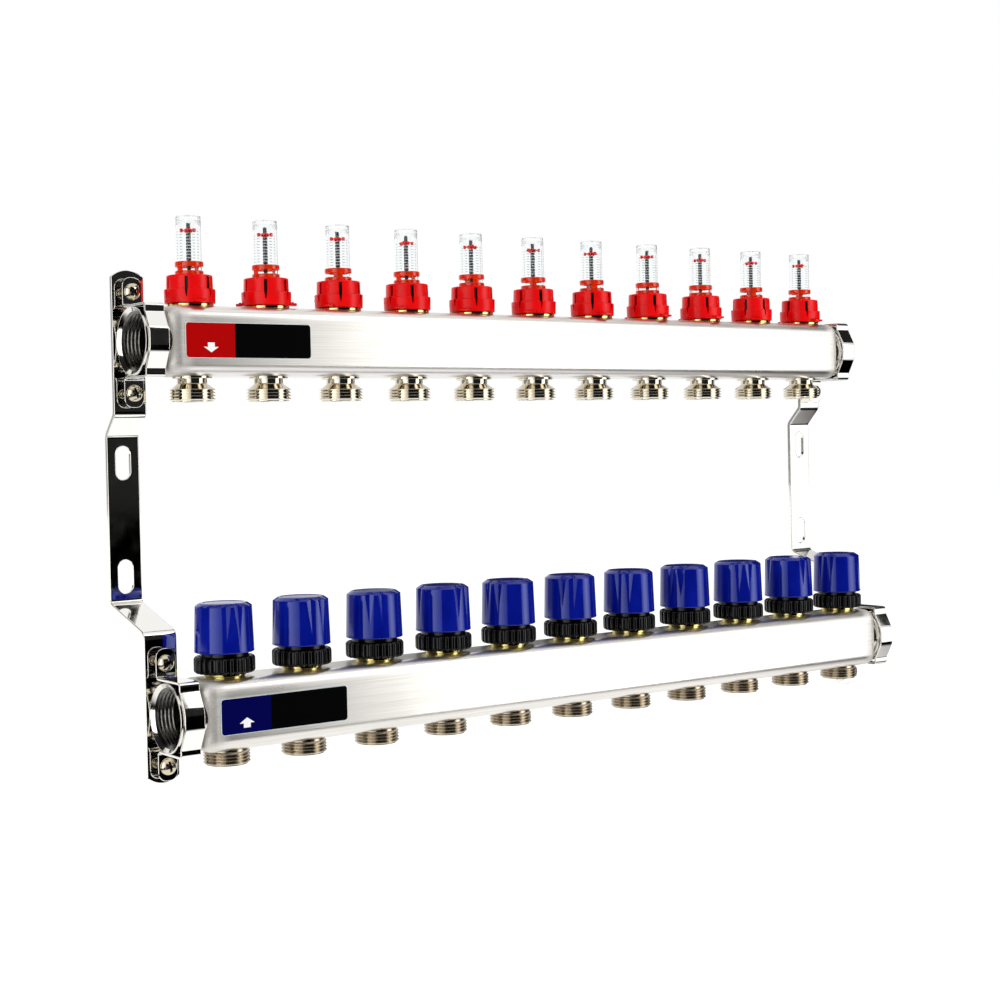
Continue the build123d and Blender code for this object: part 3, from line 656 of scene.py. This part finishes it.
# two bands with a wall set back between them, and all of the wall but two posts cut away
clip = spun([
    (7.25, CLIP_BASE), (8.15, CLIP_BASE, 0.3), (8.15, GAP_LOW, 0.4), (7.65, GAP_LOW + 0.1, 0.1),
    (7.65, GAP_HIGH - 0.1, 0.1), (8.15, GAP_HIGH, 0.4), (8.15, CLIP_TOP, 0.5), (7.25, CLIP_TOP, 0.2),
])
window = block((18, 14.7, GAP_HIGH - GAP_LOW - 0.1), (0, 0, (GAP_LOW + GAP_HIGH) / 2))
clip_cut = cut(clip, [window])
rings = [copied(clip_cut, at(place, angle)) for place, angle in zip(SUPPLY, CLIP_TURN)]
piece(joined(rings), "clip_rings_tinted", tinted, ["clip_rings"])

# %% Sight glasses and their scales
GLASS_RADIUS, GLASS_TOP = 7.2, 72.2
glass = spun([
    (0, GLASS_TOP - 0.7), (4.4, GLASS_TOP - 0.7, 0.3), (4.9, GLASS_TOP, 0.2),
    (GLASS_RADIUS, GLASS_TOP, 0.8), (GLASS_RADIUS, 33), (5.9, 33), (5.9, 69.8, 0.8), (0, 69.8),
])
piece(along(glass, SUPPLY), "sight_glasses_clear", clear, ["sight_glasses"])

ticks = []
for side, length in ((-88, 1.0), (-62, 1.7), (-2, 1.7), (20, 1.0)):
    for step in range(10):
        tick = block((length, 0.06, 0.28), (0, -GLASS_RADIUS - 0.03, 47.6 + 1.7 * step))
        ticks.append(copied(tick, turn(side)))
piece(along(joined(ticks), SUPPLY), "flow_scales_printed", scale_ink)

# %% [markdown]
# ## The flow indicators
#
# A dark rod stands in each glass, with a red disc that is read against the scale. Pale bands
# part the rod into segments. The flow plate at its foot lies in the stream inside the bar, and
# the whole indicator slides down as water flows.

# %% Flow indicators
SEGMENT, SEGMENTS_FROM, SEGMENTS = 1.75, 47.0, 9
DISC_BASE, DISC_TOP = 62.8, 65.0
DISC_TURN = (-95, -88, -90, -50, -20, -75, 0, 20, -40, 60, -15)


def sleeves(begin, tall, radius, *rounding):
    """Short tubes on the rod, one in each of its segments."""
    lows = [SEGMENTS_FROM + SEGMENT * (step + begin) for step in range(SEGMENTS)]
    return [spun([(1.0, low), (radius, low, *rounding), (radius, low + tall, *rounding),
                  (1.0, low + tall)], steps=32) for low in lows]


def stalk():
    """The flow plate, the rod and its thick segments."""
    rod_line = [(0, 1.5), (5, 1.5, 0.2), (5, 3, 0.2), (1.15, 3), (1.15, 68.4, 0.3), (0, 68.4)]
    return joined([spun(rod_line, steps=32)] + sleeves(0, SEGMENT * 0.74, 1.45, 0.1))


def disc():
    """A hub, a thin web and three guide lugs at its rim."""
    hub = spun([
        (1.0, DISC_BASE), (2.2, DISC_BASE, 0.3), (2.2, 63.7), (4.3, 63.7, 0.15), (4.3, 64.2, 0.15),
        (2.2, 64.2), (2.2, DISC_TOP, 0.3), (1.0, DISC_TOP),
    ], steps=48)
    lug_made = block((1.5, 1.5, DISC_TOP - DISC_BASE), (0, -4.15, (DISC_BASE + DISC_TOP) / 2), 0.3)
    return joined([hub, *(copied(lug_made, turn(side)) for side in (0, 120, 240))])


for circuit, place, angle in zip(CIRCUITS, SUPPLY, DISC_TURN):
    body = f"flow_indicator_{circuit}"
    for mesh, part, slot, shade, stands_for in (
            (stalk(), "rod", "indicator_plastic", acetal, [body]),
            (joined(sleeves(0.76, 0.4, 1.3)), "bands", "indicator_plastic", white_acetal, ()),
            (disc(), "disc", "red_plastic", red_abs, ())):
        piece(copied(mesh, at(place, angle)), f"indicator_{part}_{circuit}", shade,
              stands_for, body)
print("flow meters made")

# %% [markdown]
# ## The outlets
#
# Both kinds of outlet are turned: a spigot in the bar, a pipe thread outside it and a cone in
# the mouth for the pipe fitting. The thread is drawn as rings, because its slant is too slight
# to see, and each crest has a small flat with rounded edges.

# %% Outlets
PIPE_PITCH, CREST, ROOT, LAND = 1.814, 13.22, 12.06, 0.3


def thread_points(top, turns, pitch, crest, root, land, rounding):
    """Outline points of a thread's rings, from the top downwards."""
    flank = (pitch - land) / 2
    points = []
    for ring in range(turns):
        start = top - ring * pitch
        points += [(root, start, rounding), (crest, start - flank, rounding / 2),
                   (crest, start - flank - land, rounding / 2)]
    return points + [(root, top - turns * pitch)]


def outlet(neck, top):
    """A spigot, a neck, the thread from this height down, and the cone in the mouth."""
    end = top - 4 * PIPE_PITCH - 0.5
    return spun([
        (6, -12), (8.5, -12), (8.5, -18.6), (7.2, -18.6), (7.2, -19.9), (8.5, -19.9),
        (8.5, -HALF_BAR), *neck, *thread_points(top, 4, PIPE_PITCH, CREST, ROOT, LAND, 0.15),
        (ROOT, end, 0.2), (9.7, end, 0.15), (8, end + 2.4), (8, end + 8), (6, end + 8),
    ])


supply_neck = [(11.5, -HALF_BAR), (11.5, -21.2, 0.25), (8.6, -21.2), (8.6, -24.2, 0.6)]
return_neck = [(ROOT, -HALF_BAR)]
for side, neck, top, places, shade in (("supply", supply_neck, -26.8, SUPPLY, nickel),
                                       ("return", return_neck, -21.3, RETURN, dull_nickel)):
    piece(along(outlet(neck, top), places), f"{side}_outlets_turned", shade,
          [f"{side}_outlets"])

# %% [markdown]
# ## The end sockets
#
# A short round socket at each bar end, with a coarse pipe thread inside it. It is spun about
# Z and then laid along X, and a half turn about Z gives the other end.

# %% End sockets
BAR_END = 272.5
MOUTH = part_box("end_sockets")[1].x / MM


def end_socket():
    """Outside, a narrow rim, a wide lead-in cone, and the thread behind it."""
    inner, outer, pitch, lead = 15.145, 16.625, 2.309, 1.9
    thread = thread_points(MOUTH - lead, 5, pitch, inner, outer, 0.3, 0.2)
    return spun([
        (inner, BAR_END - 3), (17, BAR_END - 3), (17, BAR_END), (19.5, BAR_END, 0.4),
        (19.5, MOUTH, 0.45), (18.9, MOUTH, 0.15), (17.0, MOUTH - lead, 0.15), *thread[1:-1],
        (inner, MOUTH - lead - 5 * pitch - 0.8),
    ], steps=128)


THREAD_WITHIN = 16.95
socket = marked(end_socket(), lambda spot: spot.xy.length < THREAD_WITHIN)
sockets = joined([copied(socket, at(axis, half) @ turn(90, "Y"))
                  for axis in BAR_AXES for half in (0, 180)])
piece(sockets, "end_sockets_turned", [polished, dark_thread_and_recess_shade], ["end_sockets"])
print("outlets and sockets made")

# %% [markdown]
# ## The O-rings
#
# They sit in the bar walls and hide there, so a plain ring each is enough.

# %% Seal rings


def seal(radius, height):
    """One ring: a small circle, stood up and spun about Z."""
    ring = bmesh.new()
    bmesh.ops.create_circle(ring, segments=8, radius=0.6 * MM)
    bmesh.ops.transform(ring, matrix=shift(radius, 0, height) @ turn(90, "X"), verts=ring.verts)
    return whole_turn(ring, 32)


seals = joined([along(seal(9.8, 19.25), SUPPLY + RETURN), along(seal(7.9, -19.25), SUPPLY + RETURN)])
piece(seals, "seal_rings_moulded", rubber, ["seal_rings"])

# %% [markdown]
# ## The bars
#
# Each bar is a closed steel tube of rounded rectangular section with rounded ends. It is a box
# with all its edges bevelled, hollowed by a smaller one, and bored for its valves, outlets and
# end sockets. The flat faces must look flat beside the wide roundings, so the piece gets
# weighted normals.

# %% Bars
BAR_ROUND, BAR_WALL, BAR_DEPTH = 8.0, 1.5, 38.0
TOP_BORE, BOTTOM_BORE, END_BORE = 10.45, 8.55, 17.05
bar_size = (2 * BAR_END, BAR_DEPTH, 2 * HALF_BAR)
tools = [block([side - 2 * BAR_WALL for side in bar_size], edge=BAR_ROUND - BAR_WALL, segments=6)]
for place in SUPPLY:
    for bore, low, high in ((TOP_BORE, 10, HALF_BAR + 1), (BOTTOM_BORE, -HALF_BAR - 1, -10)):
        tools.append(copied(rod(bore, low, high), at((place.x, 0, 0))))
tools += [copied(rod(END_BORE, BAR_END - 6, BAR_END + 6), turn(side, "Y")) for side in (90, -90)]
bar_cut = cut(block(bar_size, edge=BAR_ROUND, segments=12), tools)
for name, axis in zip(("supply_bar", "return_bar"), BAR_AXES):
    piece(copied(bar_cut, at(axis)), f"{name}_tube", brushed, [name], flats=True)
bar_cut.free()
print("bars made")

# %% [markdown]
# ## Bent sheet metal
#
# The strips and straps are punched flat and then bent, and here they are made the same way. A
# flat blank gets its holes and its rounded rims, planes cut it across where it will bend, and
# then each of its points is carried from the flat onto a line of straight runs and arcs.

# %% A bend line and a way to bend a blank along it


def bend_line(corners, radii):
    """Straight runs and arcs through (y, z) corners: (start, length, place, heading, curve)."""
    runs, begun = [], 0.0
    place = Vector(corners[0])
    for index, radius in enumerate((*radii, 0), 1):
        corner = Vector(corners[index])
        heading = (corner - Vector(corners[index - 1])).normalized()
        angle = 0.0
        if index < len(corners) - 1:
            after = (Vector(corners[index + 1]) - corner).normalized()
            angle = math.atan2(heading.x * after.y - heading.y * after.x, heading.dot(after))
        setback = radius * math.tan(abs(angle) / 2)
        straight = (corner - heading * setback - place).length
        runs.append((begun, straight, place, heading, 0.0))
        begun += straight
        if angle:
            arc = radius * abs(angle)
            runs.append((begun, arc, corner - heading * setback, heading, angle / arc))
            begun += arc
            place = corner + after * setback
    return runs, begun


def on_line(runs, distance):
    """The point at this distance along the line, and the direction square to it there."""
    passed = [run for run in runs if run[0] <= distance + 1e-9]
    begun, _, place, heading, curve = (passed or runs[:1])[-1]
    gone = distance - begun
    square = Vector((-heading.y, heading.x))
    if not curve:
        return place + heading * gone, square
    turned = curve * gone
    point = place + heading * (math.sin(turned) / curve) + square * ((1 - math.cos(turned)) / curve)
    return point, square * math.cos(turned) - heading * math.sin(turned)


def reached(runs, length, height):
    """How far along a line that goes down it comes to this height."""
    low, high = 0.0, length
    for _ in range(40):
        half = (low + high) / 2
        low, high = (half, high) if on_line(runs, half)[0].y > height else (low, half)
    return low


def seam(mesh, distance):
    """New edges across a blank, this far along it."""
    bmesh.ops.bisect_plane(mesh, geom=mesh.verts[:] + mesh.edges[:] + mesh.faces[:], dist=1e-7,
                           plane_co=(0, distance * MM, 0), plane_no=(0, 1, 0))


def bent(mesh, runs, steps=6):
    """Bends a blank that lies along Y from 0, with its thickness on Z, along the line."""
    for begun, length, _, _, curve in runs:
        for step in range(steps + 1) if curve else ():
            seam(mesh, begun + length * step / steps)
    for point in mesh.verts:
        where, square = on_line(runs, point.co.y / MM)
        laid = where + square * (point.co.z / MM)
        point.co = Vector((point.co.x / MM, laid.x, laid.y)) * MM
    return mesh


# %% [markdown]
# ## The wall strips
#
# Each strip is one chrome-plated pressing: a flat on the wall with two slots, a short slope out
# to the supply bar and a long one out to the return bar. Each end of the blank is a shallow
# arc: one corner point is spun, and the blank is wrapped round the points.

# %% Wall strips
STRIP_X = middle("right_bracket").x / MM
STRIP_WIDTH, STRIP_THICK, END_ARC = 20.0, 3.0, 14.5
SLOT_WIDTH, SLOT_LENGTH, SLOT_HEIGHTS = 9.0, 19.3, (33, -33)
SCREW_SPREAD = 29.0
STRIP_BEND, TAP_RADIUS = 4.5, 2.55
STRIP_LINE = [(-13, 144), (-13, 61), (-1.5, 49), (-1.5, -49), (-45, -63), (-45, -147.5)]


def arc_blank(width, length, thick):
    """A flat blank whose two ends are shallow arcs."""
    mesh = bmesh.new()
    half_angle = math.asin(width / 2 / END_ARC)
    rise = END_ARC * (1 - math.cos(half_angle))
    corner = mesh.verts.new((-width / 2 * MM, rise * MM, -thick / 2 * MM))
    bmesh.ops.spin(mesh, geom=[corner], cent=(0, END_ARC * MM, 0), axis=(0, 0, 1),
                   angle=2 * half_angle, steps=16)
    far = shift(0, length / 2, 0) @ turn(180) @ shift(0, -length / 2, 0)
    lid = joined([mesh, copied(mesh, far)])
    whole = joined([copied(lid, shift(0, 0, thick)), lid])
    bmesh.ops.delete(whole, geom=whole.edges[:], context="EDGES_FACES")
    bmesh.ops.convex_hull(whole, input=whole.verts)
    bmesh.ops.dissolve_limit(whole, angle_limit=0.01, verts=whole.verts, edges=whole.edges)
    return whole


def wall_strip():
    """The blank, pierced and bent."""
    runs, length = bend_line(STRIP_LINE, [STRIP_BEND] * 4)
    slots = [reached(runs, length, height) for height in SLOT_HEIGHTS]
    holes = [reached(runs, length, axis.z / MM + side)
             for axis in BAR_AXES for side in (SCREW_SPREAD, -SCREW_SPREAD)]
    # a slot is a box whose upright edges are rounded until its ends are round
    tools = [block((SLOT_WIDTH, SLOT_LENGTH, 9), (0, place, 0), SLOT_WIDTH * 0.4999, 10, only=2)
             for place in slots]
    tools += [copied(rod(TAP_RADIUS, -4, 4, 24), shift(0, place, 0)) for place in holes]
    blank = arc_blank(STRIP_WIDTH, length, STRIP_THICK)
    openings = sorted(slots + holes)
    for one, other in zip(openings, openings[1:]):
        # a cut leaves a lid where a face has more than one opening, so each gets a face of its own
        seam(blank, (one + other) / 2)
    return bent(soften(cut(blank, tools), 0.55, 3), runs)


strip_made = wall_strip()
print("strip has", len(strip_made.faces), "faces")
for name, side in (("left", -STRIP_X), ("right", STRIP_X)):
    piece(copied(strip_made, shift(side, 0, 0)), f"{name}_strip_bent",
          chrome, [f"{name}_bracket"], flats=True)
strip_made.free()

# %% [markdown]
# ## The clamp straps and their screws
#
# A strap goes over each socket in five flats, with an ear at each end that a screw pulls
# towards the strip. The front flat runs into its neighbours in wide bends, and the others are
# sharp. The screw's head is a dome with a cross recess cut by two tapered blades. The recess
# gets the dark thread steel as painted shade.

# %% Straps and screws
STRAP_WIDTH, STRAP_THICK, STRAP_CORNER = 12.0, 1.5, 5
STRAP_BENDS, EAR_HOLE = [1.8, 1.8, 2.5, 10.0], 2.75
SOCKET_STANDOFF, EAR_GAP, EAR_REACH = 19.6, 4.5, 8.3
STRAP_REACH, STRAP_SHOULDER, STRAP_SLANT = 20.4, -14.6, math.radians(28.3)


def strap():
    """A flat blank with round ends and two holes, bent over the socket and back."""
    ear = SOCKET_STANDOFF - EAR_GAP - STRAP_THICK / 2
    tip = SCREW_SPREAD + EAR_REACH
    slanted = (STRAP_REACH + STRAP_SHOULDER * math.cos(STRAP_SLANT)) / math.sin(STRAP_SLANT)
    upper = [(ear, tip), (ear, STRAP_REACH), (STRAP_SHOULDER, STRAP_REACH), (STRAP_SHOULDER, slanted),
             (-STRAP_REACH, STRAP_REACH * math.tan(STRAP_SLANT / 2))]
    lower = [(y, -z) for y, z in reversed(upper)]
    runs, length = bend_line(upper + lower, STRAP_BENDS + STRAP_BENDS[::-1])
    blank = block((STRAP_WIDTH, length, STRAP_THICK), (0, length / 2, 0), STRAP_CORNER, 8, only=2)
    holes = [copied(rod(EAR_HOLE, -4, 4, 24), shift(0, reach, 0))
             for reach in (EAR_REACH, length - EAR_REACH)]
    return bent(soften(cut(blank, holes), 0.4, 3), runs)


def screw():
    """The screw along -Y, with the underside of its head at the origin."""
    crown, head, height = 5.7, 4.85, 3.4
    dome = [(crown * math.sin(math.radians(a)), height - crown + crown * math.cos(math.radians(a)))
            for a in range(56, -1, -4)]
    body = spun([(0, -12), (2.1, -12), (2.45, -11.4), (2.45, 0), (head, 0, 0.15), (head, 0.35, 0.25),
                 *dome], steps=64)
    blades = [block((11, 1.3, 3), (0, 0, height + 0.1))]
    for side in (0, 90):
        blade = block((8.6, 1.7, 3), (0, 0, height - 0.7))
        low = [point for point in blade.verts if point.co.z < (height - 1) * MM]
        bmesh.ops.scale(blade, vec=(0.5, 0.7, 1), verts=low)
        blades.append(copied(blade, turn(side)))

    def painted_recess_shade(spot):
        surface = height - crown + math.sqrt(max(crown ** 2 - spot.xy.length_squared, 0))
        return 0.8 < spot.z < surface - 0.15

    # the faces inside the cross recess get the dark thread steel: painted shade
    return soften(marked(cut(body, blades), painted_recess_shade), 0.1, 2, 40)


SCREW_TURN = (35, 20, 70, 15, 50, 10, 25, 60)
strap_made, screw_made, straps, screws = strap(), screw(), [], []
for axis in BAR_AXES:
    for side in (-STRIP_X, STRIP_X):
        here = at(axis) @ shift(side, 0, 0)
        straps.append(copied(strap_made, here))
        for height in (SCREW_SPREAD, -SCREW_SPREAD):
            face = SOCKET_STANDOFF - EAR_GAP - STRAP_THICK
            seat = here @ shift(0, face, height) @ turn(90, "X")
            screws.append(copied(screw_made, seat @ turn(SCREW_TURN[len(screws)])))
piece(joined(straps), "clamp_straps_bent", chrome, ["clamp_straps"], flats=True)
piece(joined(screws), "clamp_screws_headed", [screw_plate, dark_thread_and_recess_shade],
      ["clamp_screws"], angle=30)
print("strips, straps and screws made")

# %% [markdown]
# ## The labels
#
# Each plate is a thin rounded film with a pale cut edge, and a white arrow is printed on it,
# down for the supply and up for the return.

# %% Labels
LABEL_LENGTH, LABEL_HEIGHT, LABEL_THICK, LABEL_CORNER = 81.5, 20.4, 0.4, 2.2
ARROW_ALONG, ARROW_DROP = 16.0, 4.1


def label_plate():
    """The film, with a pale cut edge as its second material."""
    mesh = block((LABEL_LENGTH, LABEL_THICK, LABEL_HEIGHT), edge=LABEL_CORNER, segments=8, only=1)
    front = min(mesh.faces, key=lambda face: face.calc_center_median().y)
    bmesh.ops.inset_region(mesh, faces=[front], thickness=0.3 * MM, depth=0.0, use_even_offset=True)
    for face in mesh.faces:
        face.material_index = int(face != front)
    return mesh


def arrow():
    """A flat arrow that points down, in the plane of the label's face."""
    mesh = bmesh.new()
    corners = ((-2.15, 2.8), (2.15, 2.8), (2.15, 0.3), (4.65, 0.3), (0, -2.8), (-4.65, 0.3),
               (-2.15, 0.3))
    face = mesh.faces.new([mesh.verts.new((x * MM, 0, z * MM)) for x, z in corners])
    grown = bmesh.ops.extrude_face_region(mesh, geom=[face])["geom"]
    front = [item for item in grown if isinstance(item, bmesh.types.BMVert)]
    bmesh.ops.translate(mesh, vec=(0, -0.08 * MM, 0), verts=front)
    bmesh.ops.recalc_face_normals(mesh, faces=mesh.faces)
    return mesh


plates, arrows = [], []
for axis, flip in zip(BAR_AXES, (0, 180)):
    face = axis.y - (BAR_DEPTH / 2 + LABEL_THICK / 2 + 0.02) * MM
    centre = Vector((LABEL_LEFT + LABEL_LENGTH / 2 * MM, face, axis.z))
    plates.append(copied(label_plate(), at(centre)))
    spot = at((LABEL_LEFT, face, axis.z)) @ shift(ARROW_ALONG, -LABEL_THICK / 2, -ARROW_DROP)
    arrows.append(copied(arrow(), spot @ turn(flip, "Y")))
piece(joined(plates), "label_plates_printed", [film, film_edge], ["label_plates"])
piece(joined(arrows), "label_arrows_printed", white_ink)

# %% [markdown]
# ## The valve stems
#
# They stand inside the bar and the valve and never show, so the frame's own pieces stay and
# only get the finish of turned stainless steel.

# %% Finishes on frame nodes
for circuit in CIRCUITS:
    stem = nodes[f"valve_stem_{circuit}"].data
    stem.materials.clear()
    stem.materials.append(steel)
print("stems finished")

# %% [markdown]
# ## Floor, light and camera
#
# Bright metal is lit by what it mirrors. Here that is a dark room with a tall soft panel on the
# left and one on the right, and white paper behind, above and below: so the round pieces get
# crisp bright bands between dark ones. Matt surfaces get a plain even level from the same
# panels and the paper. The camera sees the paper white, also through the clear glasses.

# %% World
WHITE = (1, 1, 1, 1)
world = bpy.data.worlds.new("studio")
scene.world = world
world.use_nodes = True
tree = world.node_tree
tree.nodes.clear()
ray = add(tree, "LightPath").outputs
direction = add(tree, "SeparateXYZ", Vector=add(tree, "TexCoord").outputs["Generated"]).outputs
front = add(tree, "Math", TIMES, _0=direction["Y"], _1=-1.0)
azimuth = add(tree, "Math", {"operation": "ARCTAN2"}, _0=direction["X"], _1=front).outputs[0]
elevation = add(tree, "Math", {"operation": "ARCSINE"}, _0=direction["Z"]).outputs[0]


def window(value, low, high, soft):
    """1 between two angles in degrees, 0 outside, with a soft edge."""
    low, high, soft = (math.radians(angle) for angle in (low, high, soft))
    rise = add(tree, "MapRange", SMOOTH, Value=value, From_Min=low - soft, From_Max=low + soft)
    fall = add(tree, "MapRange", SMOOTH, Value=value, From_Min=high - soft, From_Max=high + soft,
               To_Min=1.0, To_Max=0.0)
    return add(tree, "Math", TIMES, _0=rise, _1=fall).outputs[0]


# each dark part of the room: azimuths from straight ahead of the wall, elevations, and depth
ROOM = ((-128, 124), (-46, 46), 1.0)
RIGHT_CORNER = ((120, 149), (-22, 22), 1.0)
LEFT_CORNER = ((-157, -126), (-30, 30), 0.72)
UPPER_LEFT = ((-150, -88), (10, 75), 1.0)
dark = 0.0
for sides, heights, depth in (ROOM, RIGHT_CORNER, LEFT_CORNER, UPPER_LEFT):
    field = add(tree, "Math", TIMES, _0=window(azimuth, *sides, 4), _1=window(elevation, *heights, 6))
    field = add(tree, "Math", TIMES, _0=field, _1=depth)
    dark = add(tree, "Math", LARGER, _0=field, _1=dark).outputs[0]
mirrored = add(tree, "MapRange", Value=dark, To_Min=1.0, To_Max=0.015)
even = add(tree, "MapRange", Value=window(azimuth, -110, 110, 20), To_Min=0.9, To_Max=0.42)
lit = add(tree, "Mix", NUMBERS, _0=ray["Is Glossy Ray"], _2=even, _3=mirrored)
within = add(tree, "Math", OVER, _0=ray["Transmission Depth"], _1=0.5)
in_glass = add(tree, "Math", TIMES, _0=within, _1=ray["Is Glossy Ray"])
seen = add(tree, "Math", LARGER, _0=ray["Is Camera Ray"], _1=ray["Is Transmission Ray"])
seen = add(tree, "Math", LARGER, _0=seen, _1=in_glass)
strength = add(tree, "Mix", NUMBERS, _0=seen, _2=lit, _3=1.0)
sky = add(tree, "Background", Color=WHITE, Strength=strength)
add(tree, "OutputWorld", Surface=sky)
world.cycles.sampling_method = "NONE"
print("world ready")

# %% [markdown]
# The floor is a sheet of white paper. It holds the soft shadow, and glows just enough to be
# seen white. Far out in front of the wall it stays unlit for reflections, or the polished
# pieces would mirror it all the way to the horizon.

# %% Floor
FLOOR_HALF, FLOOR_DROP = 12, 0.35
FAR_FROM, FAR_TO, FRONT_FROM, FRONT_TO = 0.75, 1.1, 0.25, 0.6
floor_mesh = bmesh.new()
bmesh.ops.create_grid(floor_mesh, x_segments=1, y_segments=1, size=FLOOR_HALF)
floor_data = stored("floor", floor_mesh)
floor_data.transform(at((0, 0, cad_box[0].z - FLOOR_DROP)))
floor = stood("floor", floor_data)
paper = finish("paper_white_matt", "#E8E8E8", 0.9)
tree, shader = shader_of(paper)
ray = add(tree, "LightPath").outputs
seen = add(tree, "Math", LARGER, _0=ray["Is Camera Ray"], _1=ray["Is Glossy Ray"])
seen = add(tree, "Math", LARGER, _0=seen, _1=ray["Is Transmission Ray"])
tone = add(tree, "Mix", COLOURS, Factor=seen, _6=colour("#E8E8E8"), _7=colour("#707070"))
tree.links.new(tone.outputs[2], shader.inputs["Base Color"])
glow = add(tree, "Emission", Color=WHITE, Strength=seen)
away = add(tree, "VectorMath", {"operation": "LENGTH"}, _0=add(tree, "TexCoord").outputs["Object"])
far_off = add(tree, "MapRange", SMOOTH, Value=away.outputs["Value"], From_Min=FAR_FROM, From_Max=FAR_TO)
in_front = add(tree, "MapRange", SMOOTH, Value=position(tree)["Y"], From_Min=FRONT_FROM,
               From_Max=FRONT_TO, To_Min=1.0, To_Max=0.0)
unlit = add(tree, "Math", TIMES, _0=far_off, _1=in_front)
unlit = add(tree, "Math", TIMES, _0=unlit, _1=ray["Is Glossy Ray"])
sheet = add(tree, "AddShader", _0=shader, _1=glow)
dark_room = add(tree, "Emission", Strength=0.0)
surface = add(tree, "MixShader", _0=unlit, _1=sheet, _2=dark_room)
tree.links.new(surface.outputs[0], tree.nodes["Material Output"].inputs[0])
floor_data.materials.append(paper)

# %% Lamps


def soft_panel(name, near, far, radiances, height, middle_height):
    """A tall soft panel between two points on the floor plan, in strips from near to far."""
    start, end = Vector(near), Vector(far)
    step = (end - start) / len(radiances)
    facing = Vector((-step.y, step.x))
    facing *= -1 if facing.dot(-start) < 0 else 1
    for index, radiance in enumerate(radiances):
        light = bpy.data.lights.new(f"{name}_{index}", "AREA")
        light.shape, light.size, light.size_y = "RECTANGLE", step.length, height
        light.energy = radiance * math.pi * step.length * height
        thing = stood(light.name, light)
        thing.location = (*(start + step * (index + 0.5)), middle_height)
        thing.rotation_euler = Vector((*facing, 0)).to_track_quat("-Z", "Y").to_euler()
        thing.visible_camera = False


soft_panel("panel_left", (-0.90, -1.04), (-1.45, -0.2), (0.9, 1.2, 1.6, 2.1, 2.4, 2.6), 1.8, 0.05)
soft_panel("panel_right", (0.5, -1.198), (1.35, -0.75), (1.6, 2.5, 3.1, 2.8, 2.0, 1.3, 0.8), 2.5, 0.4)
print("panels ready")

# %% Camera
STANDPOINT, YAW, PITCH, ROLL = (-0.71593, -0.95996, 0.0431), 36.517, -1.044, -1.212
lens = bpy.data.cameras.new("camera")
lens.lens, lens.sensor_width, lens.shift_y, lens.clip_start = 63.75, 36, -0.03, 0.01
camera = stood("camera", lens)
camera.matrix_world = at(STANDPOINT, -YAW) @ turn(90 + PITCH, "X") @ turn(ROLL)
scene.camera = camera
scene.view_settings.view_transform = "Standard"
print("camera ready")

# %% Sizes and the end
print("CAD box", [tuple(round(v, 4) for v in c) for c in cad_box])
